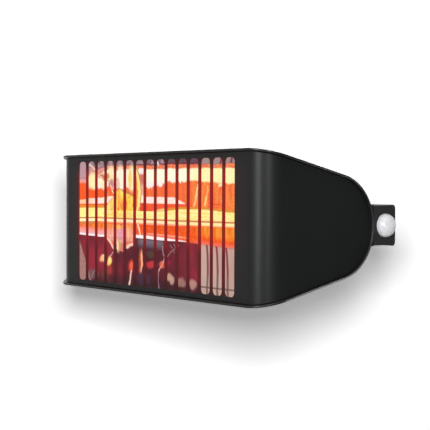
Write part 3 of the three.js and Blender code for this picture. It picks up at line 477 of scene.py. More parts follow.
# Spots: (S, Z, half width, half height, colour, share).
UPPER_REFLECTIONS = (            # painted reflections on the bright folds of the upper mirror
    (-127.0, 62.0, 9.0, 6.0, (0.76, 0.34, 0.27), 0.9),
    (-128.0, 50.0, 11.0, 10.0, (1.0, 0.84, 0.45), 1.0),
    (-105.0, 46.0, 8.0, 6.5, (1.0, 0.80, 0.46), 1.0),
    (-112.0, 58.0, 8.0, 5.0, SALMON, 0.6),
    (-104.0, 54.0, 5.5, 4.0, (0.80, 0.24, 0.08), 0.9),
    (-86.0, 58.0, 9.0, 10.0, (1.0, 0.85, 0.46), 1.0),
    (-96.0, 56.0, 4.5, 4.0, (0.70, 0.22, 0.10), 0.9),
    (-66.0, 52.0, 9.0, 15.0, (1.0, 0.93, 0.72), 1.0),
    (-73.0, 46.0, 4.0, 8.0, SALMON, 0.5),
    (-40.0, 52.0, 12.0, 15.5, (0.99, 0.88, 0.55), 1.0),
    (-46.0, 52.0, 3.2, 13.0, (0.98, 0.66, 0.16), 0.9),
    (-89.0, 46.0, 7.0, 6.0, (0.62, 0.22, 0.20), 0.9),
    (-94.0, 38.0, 5.5, 6.0, EMBER, 0.9),
)
SMALL_LIGHTS = (      # painted reflections, light and dark, under the lamp and in the dark part
    (-74.0, -8.5, 4.5, 3.2, (1.0, 0.56, 0.10), 0.9),
    (-66.0, -4.5, 6.0, 2.2, (0.80, 0.10, 0.10), 0.9),
    (-52.0, -16.0, 2.4, 9.0, (0.97, 0.56, 0.22), 0.8),
    (-107.0, -49.0, 6.0, 4.4, (0.95, 0.52, 0.26), 1.0),
    (-104.0, -46.0, 3.0, 2.4, (1.0, 0.82, 0.50), 0.9),
    (-92.0, -51.0, 4.4, 5.2, (1.0, 0.62, 0.16), 1.0),
    (-92.5, -50.0, 2.4, 3.2, (1.0, 0.85, 0.36), 0.8),
    (-90.0, -61.0, 6.0, 5.0, (0.42, 0.06, 0.05), 0.8),
    (-72.0, -32.0, 3.4, 9.0, (0.62, 0.40, 0.09), 1.0),
    (-75.5, -33.0, 1.6, 8.0, (0.95, 0.88, 0.60), 0.8),
    (-43.0, -54.0, 7.0, 7.0, (0.60, 0.06, 0.045), 0.9),
    (-43.0, -54.0, 4.0, 4.5, (0.95, 0.15, 0.08), 0.9),
    (-24.0, -48.0, 4.0, 13.0, (0.52, 0.09, 0.05), 0.9),
    (-20.5, -48.0, 2.4, 12.0, (1.0, 0.44, 0.26), 1.0),
    (0.0, -51.0, 11.0, 3.8, (0.62, 0.05, 0.055), 0.9),
    (22.0, -50.0, 6.0, 3.6, (0.80, 0.13, 0.06), 0.9),
    (36.0, -47.0, 4.0, 3.0, (0.36, 0.02, 0.06), 0.9),
    (-2.0, -40.0, 9.0, 4.0, (0.11, 0.065, 0.05), 0.8),
    (-100.0, -66.0, 8.0, 6.0, (0.16, 0.06, 0.045), 0.9),
    (-128.0, -67.0, 12.0, 5.0, (0.20, 0.10, 0.11), 0.9),
    (-16.0, -66.0, 14.0, 6.0, (0.085, 0.040, 0.070), 0.8),
    (-66.0, -27.0, 8.0, 2.0, (0.86, 0.50, 0.48), 0.5),
)
LOW_LIGHTS = (        # dull painted reflections near the bottom
    (36.0, -62.0, 5.0, 4.0, (0.60, 0.36, 0.26), 0.9),
    (41.0, -65.0, 4.0, 4.0, (0.60, 0.38, 0.30), 0.8),
    (59.0, -66.0, 8.0, 4.5, (0.40, 0.19, 0.17), 0.9),
    (80.0, -67.0, 7.0, 5.0, (0.52, 0.27, 0.23), 0.9),
)

# Painted reflection of the bowed fold: (S, half width, half height, colour), each over the one before.
BOWED_FOLD_REFLECTION = (
    (-38.0, 5.0, 33.0, (0.86, 0.26, 0.05)), (-32.6, 3.9, 29.5, (0.56, 0.26, 0.11)),
    (-33.8, 3.4, 29.0, (0.98, 0.76, 0.26)))

# Colour ramps: (value, colour).
# colours of the painted reflection in the arch
ARCH_REFLECTION_RAMP = (
    (0.34, ORANGE), (0.42, AMBER), (0.50, (0.96, 0.62, 0.09)), (0.60, (0.96, 0.72, 0.14)), (0.72, YELLOW))
TUBE_WALL = (         # by height above the tube's middle; the cream stops are the painted highlight
    (-10.0, (0.84, 0.14, 0.035)), (-8.8, (0.92, 0.34, 0.12)), (-7.6, CREAM), (-5.2, (1.0, 0.88, 0.52)),
    (-4.5, (0.62, 0.20, 0.06)), (-3.4, (0.50, 0.15, 0.045)), (-2.6, (0.95, 0.62, 0.20)), (8.0, YELLOW))


class Glow(Graph):
    """What the crumpled mirror shows, as painted reflections of the lamp and the room, painted by height
    and by place along the front.
    """

    def start(self):
        self.x, y, self.z = self.split_mm()
        depth = self.sub(y, RIM_Y * TO_MM)
        self.s = self.add(self.x, self.mul(self.sub(depth, SLANT_FROM), SLANT))
        self.streaks = self.texture(0.05, 1.1, 3.0)
        self.fine = self.texture(0.30, 0.34)
        # upright noise that varies the painted glow
        self.upright_glow_noise = self.texture(0.16, 0.028, shift=9.0)
        # the same place, shifted a little, so that drawn edges come out uneven
        self.ws = self.add(self.s, self.wobble(0.09, 3.4))
        self.wz = self.add(self.z, self.wobble(0.08, 3.2, shift=70.0))

    def texture(self, along, up, detail=2.0, shift=0.0):
        place = self.vector(self.add(self.mul(self.s, along), shift), 0.0, self.mul(self.z, up))
        return self.noise(place, 1.0, detail)

    def wobble(self, scale, reach, shift=0.0):
        return self.mul(self.sub(self.texture(scale, scale, shift=shift), 0.5), 2 * reach)

    def along(self, start, full, low=0.0, high=1.0):
        """A share by S: low up to start and high from full on, in either direction."""
        return self.span(self.s, start, full, low, high)

    def up(self, start, full):
        """A share by Z: 0 up to start and 1 from full on, in either direction."""
        return self.span(self.z, start, full)

    def line(self, value, half, soft):
        return self.span(self.size(value), self.add(half, soft), half)

    def slope(self, stops):
        """Straight pieces through (S, result) stops, level outside them."""
        made = stops[0][1]
        for (low, before), (high, after) in zip(stops, stops[1:]):
            made = self.add(made, self.span(self.s, low, high, 0.0, after - before, smooth=False))
        return made

    def group(self, tree, *values):
        made = self.node("ShaderNodeGroup")
        made.node_tree = tree
        for socket, value in zip(made.inputs, (self.ws, self.wz, *values)):
            self.put(socket, value)
        return made.outputs[0]

    def spot(self, at_s, at_z, half_s, half_z, soft=0.25, bend=0.0):
        return self.group(SPOT, at_s, at_z, half_s, half_z, soft, bend)

    def spots(self, colour, items):
        for at_s, at_z, half_s, half_z, tint, share in items:
            colour = self.over(colour, tint, self.spot(at_s, at_z, half_s, half_z, LIGHT_SOFT), share)
        return colour

    def strokes(self, colour, items):
        for start, end, half, tint in items:
            colour = self.over(colour, tint, self.group(STROKE, *start, *end, half), STROKE_SHARE)
        return colour

    # Painted reflections of the lamp in the upper mirror: glow bands, a bright band and a pale band.
    def upper_bands(self):
        z, s, fine = self.z, self.s, self.fine
        right = self.along(55.0, 100.0)
        yellow = self.mix(self.span(fine, 0.35, 0.65), YELLOW, PALE_YELLOW)
        amber = self.span(self.upright_glow_noise, 0.38, 0.62, 0.0, self.add(0.15, self.mul(right, 0.6)))
        orange_reflection = self.mix(amber, ORANGE, AMBER)
        orange_reflection = self.over(orange_reflection, EMBER, self.span(fine, 0.60, 0.42), 0.45)
        orange_reflection = self.over(orange_reflection, (0.95, 0.11, 0.025), self.along(-92.0, -102.0),
                            self.up(54.0, 42.0), 0.85)
        # lamp glow low down, orange above it
        level = self.sub(z, self.add(self.slope(LOW_EDGE), self.wobble(0.15, 0.7)))
        rim = self.mix(self.line(self.sub(s, 12.0), 12.0, 6.0), (0.80, 0.29, 0.045), (1.0, 0.58, 0.24))
        colour = self.mix(self.span(level, 0.7, -0.7), orange_reflection, rim)
        colour = self.mix(self.span(self.add(level, self.slope(RIM_DEPTH)), 0.8, -0.8), colour, yellow)
        # left of the tube's end its lower edge is mirrored
        for start, full, tint in LAMP_LINES:
            colour = self.over(colour, tint, self.up(start, full))
        colour = self.over(colour, EMBER, self.span(level, 0.4, 1.6), self.up(23.6, 22.4),
                           self.along(92.0, 70.0), self.along(-108.0, -84.0, 0.25))
        # painted bright band near the top, with an uneven lower edge
        rag = self.mul(self.sub(self.texture(0.22, 0.03, shift=40.0), 0.5), self.slope(BRIGHT_RAG))
        above = self.sub(z, self.add(self.slope(BRIGHT_EDGE), rag))
        pale = self.add(self.mul(right, 0.75), self.span(fine, 0.52, 0.72, 0.0, 0.3))
        bright = self.mix(pale, WHITE_HOT, PALE_YELLOW)
        bright = self.over(bright, ROSE_WHITE, self.up(53.0, 44.0), self.along(70.0, 40.0))
        colour = self.over(colour, bright, self.span(above, -1.2, 1.6), self.along(-140.0, -131.0))
        # painted pale band that thins out to the right
        below_top = self.sub(self.slope(PALE_TOP), self.add(z, self.wobble(0.10, 1.2)))
        above_foot = self.sub(z, self.slope(PALE_FOOT))
        rosy = self.mix(self.span(fine, 0.38, 0.62), (1.0, 0.72, 0.60), ROSE_WHITE)
        rosy = self.over(rosy, (1.0, 0.58, 0.38), self.along(-122.0, -142.0))
        colour = self.over(colour, rosy, self.span(below_top, -0.3, 0.9), self.span(above_foot, 0.0, 1.2))
        return self.strokes(colour, GLOW_STREAKS)

    def top_edge(self, colour):
        """The mirror's upper edge, as painted reflections: a red rim of glow, and the dim room above it.
        """
        self.top = top = self.add(self.add(self.z, self.slope(TOP_DROP)), self.wobble(0.05, 2.6))
        rim = self.mix(self.span(self.fine, 0.40, 0.66), (0.88, 0.17, 0.085), (0.95, 0.30, 0.12))
        rim = self.over(rim, (0.83, 0.34, 0.30), self.along(-70.0, -100.0))
        colour = self.over(colour, rim, self.span(top, 62.0, 64.2))
        grey = self.mix(self.span(self.texture(0.11, 0.11), 0.40, 0.62), MAUVE, (0.20, 0.13, 0.17))
        grey = self.over(grey, (0.11, 0.060, 0.080), self.along(22.0, 36.0), self.along(98.0, 88.0), 0.85)
        grey = self.over(grey, (0.54, 0.33, 0.36), self.along(-140.0, -146.0, 0.0, 0.8))
        grey = self.over(grey, (0.48, 0.19, 0.21), self.line(self.add(self.s, 92.0), 24.0, 8.0),
                         self.span(top, 71.0, 68.0))
        grey = self.over(grey, (0.22, 0.035, 0.07), self.span(top, 70.4, 68.8),
                         self.along(-60.0, -30.0, 0.2, 0.85))
        return self.over(colour, grey, self.span(top, 67.0, 68.6))

    def lower_part(self):
        """Painted reflections: the pale streak below the lamp, the lit strip above it and the dark part
        below.
        """
        s, fine = self.s, self.fine
        self.q = q = self.sub(self.z, self.add(self.slope(STREAK_Z), self.wobble(0.06, 0.5)))
        seen = self.along(80.0, 62.0)
        # lit strip between the lamp and the streak
        ember = self.mix(self.span(fine, 0.36, 0.62), (0.84, 0.080, 0.010), (0.93, 0.15, 0.035))
        gold = self.mix(self.span(self.upright_glow_noise, 0.40, 0.62), (0.86, 0.18, 0.022), (0.92, 0.32, 0.045))
        warm = self.most(self.along(84.0, 108.0), self.along(-84.0, -100.0, 0.0, 0.85))
        lit = self.over(ember, gold, warm, self.span(q, 5.0, 13.0))
        lit = self.over(lit, (0.93, 0.17, 0.10), self.along(78.0, 100.0), self.span(q, 6.0, 1.0))
        rosy = self.mix(self.span(q, 1.2, 5.0), (0.82, 0.48, 0.54), (0.98, 0.38, 0.33))
        lit = self.over(lit, rosy, self.span(q, 12.5, 4.2), self.along(-36.0, -60.0))
        lit = self.over(lit, (0.90, 0.28, 0.23), self.span(q, 7.0, 1.5, 0.0, 0.6),
                        self.along(-26.0, -16.0), self.along(74.0, 44.0))
        lit = self.over(lit, (1.0, 0.36, 0.22), self.line(self.sub(q, 4.6), 0.3, 1.0),
                        self.along(-14.0, -2.0), seen)
        # painted dark reflection: crimson at both sides, plum in the middle
        crimson_patches = self.span(self.texture(0.035, 0.03, 1.5), 0.38, 0.64, 1.0, 0.45)
        dark = self.over(PLUM, CRIMSON, self.slope(CRIMSON_SHARE), crimson_patches)
        dark = self.over(dark, (0.20, 0.15, 0.19), self.span(q, -2.0, -4.0), self.span(q, -16.0, -5.0),
                         self.line(self.sub(s, -2.0), 22.0, 10.0))
        # painted shade: darker towards the bottom
        dark = self.over(dark, (0.045, 0.025, 0.030), self.up(-60.0, -72.0), 0.75)
        colour = self.over(dark, lit, self.span(q, -1.0, 0.6))
        return self.over(colour, (1.0, 0.90, 0.90), self.line(q, self.slope(STREAK_HALF), 1.0), seen)

    def arch(self, colour):
        """A wide mottled arch of painted reflected glow, steep to the left and shallow to the right."""
        out = self.sub(self.ws, ARCH_S)
        left = self.add(ARCH_Z, self.mul(out, ARCH_LEFT))
        right = self.sub(ARCH_Z, self.mul(out, ARCH_RIGHT))
        side = self.sub(self.math("MINIMUM", left, right), self.wz)
        inside = self.both(self.along(-33.0, -35.0), self.up(5.0, 6.0))
        arch_reflection = self.ramp(self.texture(0.13, 0.07, shift=5.0), ARCH_REFLECTION_RAMP, 0.2, 0.8)
        arch_reflection = self.over(arch_reflection, (0.90, 0.72, 0.24), self.along(-80.0, -90.0), 0.7)
        arch_reflection = self.over(arch_reflection, (0.90, 0.30, 0.06), self.spot(-62.0, 17.0, 8.0, 5.5))
        arch_reflection = self.over(arch_reflection, (0.42, 0.34, 0.08), self.spot(-89.0, 11.0, 3.0, 3.0))
        arch_reflection = self.over(arch_reflection, (0.92, 0.34, 0.06), self.along(-42.0, -37.0), 0.8)
        colour = self.over(colour, arch_reflection, self.span(side, 0.0, 1.2), inside)
        return self.over(colour, (0.62, 0.26, 0.07), self.line(side, 0.3, 0.9), inside,
                         self.up(18.0, 22.0), 0.75)

    def crumple(self, colour):
        """Painted reflections on the folds left of the middle: bright spots, the arch, a bowed fold and
        thin creases.
        """
        colour = self.arch(self.spots(colour, UPPER_REFLECTIONS))
        # painted reflections beside the bowed fold: a pale part, and the ember below it
        beside = self.both(self.along(-27.5, -25.0), self.along(-11.0, -13.0))
        flush = self.mix(self.up(60.0, 56.0), ROSE_WHITE, (0.70, 0.20, 0.16))
        flush = self.over(flush, (0.86, 0.44, 0.35), self.up(49.0, 42.0))
        flush = self.over(flush, (1.0, 0.86, 0.66), self.up(34.0, 30.0))
        colour = self.over(colour, flush, beside, self.span(self.top, 66.0, 64.0), self.up(23.0, 24.4))
        colour = self.over(colour, (0.78, 0.075, 0.035), beside, self.up(23.4, 22.0), self.up(-3.0, -1.0))
        # painted reflection of the tall bowed fold, with its orange flank
        for at_s, half_s, half_z, tint in BOWED_FOLD_REFLECTION:
            fold = self.spot(at_s, FOLD_Z, half_s, half_z, 0.12, FOLD_BOW)
            colour = self.over(colour, tint, fold, self.along(-37.5, -35.5))
        return self.strokes(colour, UPPER_CREASE_REFLECTIONS)

    def below_lamp(self, colour):
        """Painted reflections: a bag of light under the lamp, then small lights and creases in the dark
        part.
        """
        bag = self.both(self.span(self.sub(self.wz, self.slope(BAG_FLOOR)), -0.6, 0.8),
                        self.along(-102.0, -98.0), self.along(-36.0, -38.0), self.up(-4.6, -5.6))
        inner = self.mix(self.up(-9.0, -14.0), (0.93, 0.28, 0.08), (0.86, 0.34, 0.27))
        inner = self.over(inner, (0.80, 0.32, 0.42), self.along(-79.0, -74.0), self.along(-56.0, -60.0),
                          self.up(-8.0, -12.0))
        inner = self.over(inner, (0.97, 0.52, 0.34), self.span(self.upright_glow_noise, 0.50, 0.62), 0.6)
        inner = self.over(inner, (0.80, 0.16, 0.11), self.up(-25.0, -28.0), 0.7)
        colour = self.over(colour, inner, bag, 0.92)
        return self.strokes(self.spots(colour, SMALL_LIGHTS), LOWER_CREASE_REFLECTIONS)

    def pale_ends(self, colour):
        """Where the mirror shows the bright room, with the bars reflected in it."""
        low = self.up(10.0, 0.0)
        along = self.add(self.s, self.both(low, -0.11, self.add(self.z, 19.0)))
        dz = self.mul(self.add(self.z, 45.0), 0.04)
        bow = self.both(low, self.most(self.sub(1.0, self.mul(dz, dz)), 0.0), 3.0)
        bars = self.math("PINGPONG", self.sub(self.sub(along, bow), BARS_S), BARS_HALF_STEP)
        room = self.mix(self.span(self.texture(0.05, 0.012, 1.0), 0.35, 0.65), BEIGE, (0.58, 0.40, 0.34))
        room = self.over(room, (0.37, 0.27, 0.26), self.up(30.0, 60.0))
        shade = self.mix(self.up(-50.0, -64.0), (0.24, 0.04, 0.06), (0.20, 0.12, 0.105))
        room = self.over(room, shade, self.span(bars, 2.6, 1.2), 0.9)
        room = self.over(room, (0.14, 0.06, 0.06), self.line(self.add(self.z, 68.0), 0.5, 0.6), 0.7)
        right = self.span(self.add(self.s, self.wobble(0.03, 2.0)), 92.5, 96.0)
        part = self.most(self.span(self.q, 1.5, -1.8), self.span(self.top, 67.0, 68.6))
        colour = self.spots(self.over(colour, room, right, part), LOW_LIGHTS)
        # painted reflection: a dull wedge at the lower left
        wedge = self.add(self.add(self.ws, 158.0), self.mul(self.add(self.z, 23.2), 0.489))
        dull = self.mix(self.span(self.fine, 0.3, 0.7), (0.46, 0.24, 0.22), (0.36, 0.19, 0.16))
        return self.over(colour, dull, self.span(wedge, 1.5, -1.5), self.span(self.q, -3.0, -6.0))

    def paint(self):
        self.start()
        colour = self.top_edge(self.upper_bands())
        colour = self.mix(self.up(-4.9, -4.2), self.lower_part(), colour)
        colour = self.pale_ends(self.below_lamp(self.crumple(colour)))
        shade = self.add(0.92, self.add(self.mul(self.streaks, 0.12), self.mul(self.upright_glow_noise, 0.06)))
        return self.mix(1.0, colour, self.vector(shade, shade, shade), "MULTIPLY")


def lit_mirror():
    g = Glow("lit mirror", Metallic=1.0, Roughness=0.18, Specular_Tint=(0.25, 0.06, 0.06, 1.0))
    # the painted reflections shine as glow, and a tenth of them is the mirror's own colour
    colour = g.paint()
    brightness = g.node("ShaderNodeRGBToBW")
    g.put(brightness.inputs[0], colour)
    g.glow(colour, g.span(brightness.outputs[0], 0.1, 0.8, *MIRROR_GLOW, smooth=False))
    g.colour(g.mix(0.10, (0.0, 0.0, 0.0), colour))
    g.normal(g.bump(g.add(g.texture(0.09, 0.09), g.mul(g.fine, 0.2)), 2.0 * MM, 0.35))
    return g.mat


def lit_tube():
    """Quartz tube: bright above, a brown line where its wall shows, and a pale line below that is a
    painted highlight.
    """
    g = Glow("lit quartz", Roughness=0.12, Coat_Weight=0.5, Coat_Roughness=0.05)
    g.start()
    h = g.sub(g.sub(g.z, LAMP_Z * TO_MM), g.slope(TUBE_RISE))
    hot = g.mix(g.span(g.texture(0.10, 0.4), 0.38, 0.62), (0.95, 0.78, 0.17), PALE_YELLOW)
    gold = g.mix(g.span(g.fine, 0.36, 0.64), (0.90, 0.52, 0.08), (0.96, 0.76, 0.16))
    hot = g.over(hot, gold, g.line(g.add(g.s, 70.0), 28.0, 6.0), 0.8)
    base = g.ramp(h, TUBE_WALL, -11.0, 9.0)
    # the painted highlight turns pale yellow from S 20 to 56
    base = g.over(base, (1.0, 0.88, 0.36), g.span(h, -8.6, -7.4), g.span(h, -4.7, -5.3),
                  g.along(20.0, 56.0))
    colour = g.over(base, hot, g.span(h, -2.8, -1.6))
    ends = g.span(g.size(g.x), 162.0, 158.0)
    g.glow(g.mix(g.add(0.25, g.mul(ends, 0.75)), (0.25, 0.03, 0.01), colour), TUBE_GLOW)
    g.colour((0.12, 0.05, 0.02, 1.0))
    return g.mat


def glowing_ribbon():
    g = Graph("glowing ribbon", Roughness=0.6)
    weave = g.noise(g.scaled(g.coords(), (120.0, 900.0, 900.0)), 1.0)
    colour = g.mix(weave, (1.0, 0.40, 0.05), (1.0, 0.74, 0.26))
    g.colour(colour)
    g.glow(colour, FILAMENT_GLOW)
    return g.mat


def slotted_coat():
    """Powder coat of the slotted front, with painted red light: the slots' edges and bars glow red, and
    the coat in the window is painted red-black.
    """
    g = Graph("slotted powder coat", Specular_IOR_Level=0.2)
    x, y, z = g.split_mm()
    cloud = coat_texture(g, g.coords())

    def within(out_x, in_x, out_z, in_z):
        """1 from the in edges on, 0 outside the out edges, both measured from the window's edge."""
        return g.mul(g.span(g.size(x), WINDOW_HALF_WIDTH + out_x, WINDOW_HALF_WIDTH + in_x),
                     g.span(g.size(z), WINDOW_HALF_HEIGHT + out_z, WINDOW_HALF_HEIGHT + in_z))

    window = within(1.5, -0.5, 1.0, -2.0)
    base = g.mix(cloud, (0.0078, 0.0084, 0.0084), (0.0112, 0.0118, 0.0117))
    # painted red-black tint of the coat in the window, standing for the red light on it
    g.colour(g.over(base, (0.006, 0.0006, 0.0004), window, 0.85))
    g.roughness(g.add(g.add(0.35, g.mul(cloud, 0.10)), g.mul(window, 0.35)))
    # painted red light on the bars: strongest above the middle, weaker low down, faint at the top and
    # bottom edges
    painted_red_glow = g.mix(g.span(z, -12.0, -34.0), (0.30, 0.006, 0.004), (0.105, 0.006, 0.009))
    painted_red_glow = g.over(painted_red_glow, (0.05, 0.006, 0.008), g.span(z, 56.0, 68.0))
    painted_red_glow = g.over(painted_red_glow, (0.04, 0.006, 0.006), g.span(z, -58.0, -70.0))
    # the inner faces glow more, and a faint painted halo lies round the window
    behind = g.span(y, FRONT_Y * TO_MM + 0.15, FRONT_Y * TO_MM + 0.9)
    lit = g.mul(window, g.add(COAT_GLOW, g.mul(behind, COAT_GLOW_BEHIND)))
    halo = within(26.0, 3.0, 14.0, 1.0)
    g.glow(painted_red_glow, g.add(lit, g.mul(halo, HALO_GLOW)))
    return g.mat


DARK_GREEN, GREEN = (0.02, 0.17, 0.07), (0.03, 0.24, 0.10)
DARK_BLUE, BLUE = (0.012, 0.05, 0.20), (0.02, 0.08, 0.30)
MATERIALS = {
    "powder_coat": powder_coat(),
    "mirror_sheet": lit_mirror(),
    "bare_steel": plated_steel(),
    "quartz": lit_tube(),
    "filament": glowing_ribbon(),
    "steatite": steatite(),
    "rail_plastic": moulded("rail plastic", (0.016, 0.0165, 0.017), (0.027, 0.0275, 0.028)),
    "lens_plastic": lens_plastic(),
    "black_rubber": moulded("black rubber", (0.008, 0.008, 0.008), (0.014, 0.014, 0.014), 900.0, 0.7, 0.2),
    "circuit_board": circuit_board(),
    "terminal_plastic": moulded("green terminal", DARK_GREEN, GREEN, 1200.0, 0.35, 0.5),
    "relay_plastic": moulded("blue relay", DARK_BLUE, BLUE, 1200.0, 0.3, 0.5),
    "cable_sheath": cable_sheath(),
}
SLOTTED = slotted_coat()

SLOT_OF = {part["node"]: part["material_slot"] for part in frame["record"]["subparts"]}


def finish_of(name):
    return SLOTTED if name == "front_shell" else MATERIALS[SLOT_OF[name]]


# ---------------------------------------------------------------- pieces with rounded edges
# node: (edge radius in mm, segments)
ROUNDED = {
    "wrap_shell": (0.9, 3), "front_shell": (0.3, 2), "wall_plate": (0.4, 2), "rail_body": (0.5, 3),
    "hinge_plate": (0.6, 2), "terminal_block": (0.5, 2), "mains_terminal": (0.5, 2),
    "cable_gland": (0.5, 2), "tail_grommet": (0.4, 2), "plate_grommet": (0.4, 2),
}
for kind, *rounding in (
    ("side_frame", 0.3, 1), ("end_cap", 0.5, 3), ("hinge_saddle", 0.5, 2), ("lamp_cap", 0.8, 2),
    ("reflector_end", 0.2, 1), ("pivot_bolt", 0.4, 2), ("pivot_nut", 0.4, 2), ("shell_screw", 0.3, 2),
):
    for hand in ("left", "right"):
        ROUNDED[f"{kind}_{hand}"] = rounding
for kind, count, *rounding in (
    ("saddle_screw", 4, 0.3, 2), ("plate_screw", 4, 0.3, 2), ("friction_washer", 4, 0.2, 2),
    ("rail_screw", 2, 0.25, 2),
):
    for number in range(1, count + 1):
        ROUNDED[f"{kind}_{number}"] = rounding


def body_of(name):
    return nodes[name].parent.name.split(":")[1]


def show(name, mesh):
    """A new object in the scene."""
    piece = bpy.data.objects.new(name, mesh)
    bpy.context.scene.collection.objects.link(piece)
    return piece


WELD = 0.002 * MM
FLAT_ANGLE = 0.6           # degrees; facets flatter than this are joined
EDGE_ANGLE = 38            # degrees; edges sharper than this are rounded


def rounded_copy(name, radius, segments):
    """A copy of a CAD node whose sharp edges are rounded off."""
    mesh = nodes[name].data.copy()
    bm = bmesh.new()
    bm.from_mesh(mesh)
    bmesh.ops.remove_doubles(bm, verts=bm.verts, dist=WELD)
    bmesh.ops.dissolve_limit(bm, angle_limit=math.radians(FLAT_ANGLE), verts=bm.verts, edges=bm.edges)
    bm.normal_update()
    for face in bm.faces:
        face.smooth = True
    bm.to_mesh(mesh)
    bm.free()
    mesh.materials.clear()
    mesh.materials.append(finish_of(name))
    piece = show(f"{name}_shown", mesh)
    edge = piece.modifiers.new("edge", "BEVEL")
    edge.width = radius * MM
    edge.segments = segments
    edge.limit_method = "ANGLE"
    edge.angle_limit = math.radians(EDGE_ANGLE)
    edge.use_clamp_overlap = False
    piece.modifiers.new("even", "WEIGHTED_NORMAL")
    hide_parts(name)
    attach(piece, body_of(name))


CABLE_RINGS = 33
CABLE_SIDES = 28
CABLE_END = 0.92           # the end rings' share of the radius


def bending_cable():
    """The short cable across the hinge, as a round tube of many rings."""
    low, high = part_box("hinge_cable")
    radius = (high.x - low.x) / 2
    middle = (low.x + high.x) / 2
    height = (low.z + high.z) / 2
    turns = [side * math.tau / CABLE_SIDES for side in range(CABLE_SIDES)]
    bm = bmesh.new()
    loops = []
    for ring in range(CABLE_RINGS):
        y = low.y + (high.y - low.y) * ring / (CABLE_RINGS - 1)
        r = radius * (CABLE_END if ring in (0, CABLE_RINGS - 1) else 1.0)
        loops.append([bm.verts.new((middle + r * math.cos(turn), y, height + r * math.sin(turn)))
                      for turn in turns])
    for one, two in zip(loops, loops[1:]):
        for side in range(CABLE_SIDES):
            after = (side + 1) % CABLE_SIDES
            bm.faces.new((one[side], one[after], two[after], two[side]))
    bm.faces.new(loops[0])
    bm.faces.new(list(reversed(loops[-1])))
    bmesh.ops.recalc_face_normals(bm, faces=bm.faces)
    for face in bm.faces:
        face.smooth = len(face.verts) == 4
    mesh = bpy.data.meshes.new("hinge_cable_shown")
    bm.to_mesh(mesh)
    bm.free()
    mesh.materials.append(MATERIALS["cable_sheath"])
    piece = show("hinge_cable_shown", mesh)
    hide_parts("hinge_cable")
    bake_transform(piece)


bending_cable()

for name in nodes:
    if name in ROUNDED:
        rounded_copy(name, *ROUNDED[name])
    else:
        mesh = nodes[name].data
        mesh.materials.clear()
        mesh.materials.append(finish_of(name))


# ---------------------------------------------------------------- camera
IMAGE = 430                # pixels
FOCAL_PX = 1150.0
SENSOR_MM = 36.0
VIEW_END = 50              # metres
AZIMUTH = 0.9016           # radians
PITCH = 0.02104
ROLL = 0.00418
FORWARD = Vector((-math.sin(AZIMUTH) * math.cos(PITCH), math.cos(AZIMUTH) * math.cos(PITCH),
                  -math.sin(PITCH)))
RIGHT = Vector((math.cos(AZIMUTH), math.sin(AZIMUTH), 0))
UP = RIGHT.cross(FORWARD)
CAMERA_AT = Vector((1.08307, RIM_Y - 0.7566, 0.03813))


def make_camera():
    data = bpy.data.cameras.new("camera")
    data.sensor_width = SENSOR_MM
    data.lens = FOCAL_PX / IMAGE * SENSOR_MM
    data.clip_end = VIEW_END
    cam = show("camera", data)
    right = RIGHT * math.cos(ROLL) + UP * math.sin(ROLL)
    up = -RIGHT * math.sin(ROLL) + UP * math.cos(ROLL)
    turn = Matrix((right, up, -FORWARD)).transposed()
    cam.matrix_world = Matrix.Translation(CAMERA_AT) @ turn.to_4x4()
    bpy.context.scene.camera = cam


make_camera()


# ---------------------------------------------------------------- studio lights
def area_light(name, place, target, width, height, power):
    data = bpy.data.lights.new(name, "AREA")
    data.shape = "RECTANGLE"
    data.size = width
    data.size_y = height
    data.energy = power
    lamp = show(name, data)
    lamp.location = place
    lamp.rotation_euler = (Vector(target) - Vector(place)).to_track_quat("-Z", "Y").to_euler()
    lamp.visible_camera = False
    return lamp


def from_camera(left, up, distance):
    """A place that many degrees left of and above the camera, seen from the heater."""
    way = -FORWARD - RIGHT * math.tan(math.radians(left)) + UP * math.tan(math.radians(up))
    return way.normalized() * distance


HEAD_MIDDLE = (0, -0.08, 0)
TAIL_MIDDLE = (0.19, -0.02, 0)
KEY_AT = CAMERA_AT + FORWARD * 0.10 + UP * 0.078 + RIGHT * 0.004
key = area_light("key", KEY_AT, HEAD_MIDDLE, 0.13, 0.13, 14.0)
key.visible_glossy = False              # the narrow lights below make the highlights
for highlight in (
    area_light("flash", from_camera(0.0, 9.0, 3.0), (0.15, -0.15, 0), 0.30, 0.50, 22.0),
    area_light("front", (0.30, -1.50, 0.20), (0.18, -0.20, 0), 0.26, 0.50, 10.0),
    area_light("spark_left", from_camera(24.0, 30.0, 2.4), TAIL_MIDDLE, 0.12, 0.12, 4.0),
    area_light("spark_right", from_camera(-9.0, 40.0, 2.4), TAIL_MIDDLE, 0.12, 0.12, 6.0),
):
    highlight.visible_diffuse = False

# the edge of the wrapped sheet catches a light of its own round the tail
tail = area_light("tail", (0.45, 0.11, -0.10), (0.207, -0.085, -0.05), 0.09, 0.07, 0.4)
tail.visible_diffuse = False
lit_by_tail = bpy.data.collections.new("lit_by_tail")
lit_by_tail.objects.link(bpy.data.objects["wrap_shell_shown"])
tail.light_linking.receiver_collection = lit_by_tail


# ---------------------------------------------------------------- backdrop and world
BACKDROP_WHITE = 2.0       # as seen, so that the lit sheet is white without more light on the heater
BACKDROP_BEHIND = 0.60     # metres
BACKDROP_HALF = 4.0
FADE_FROM, FADE_TO = 0.55, 1.25


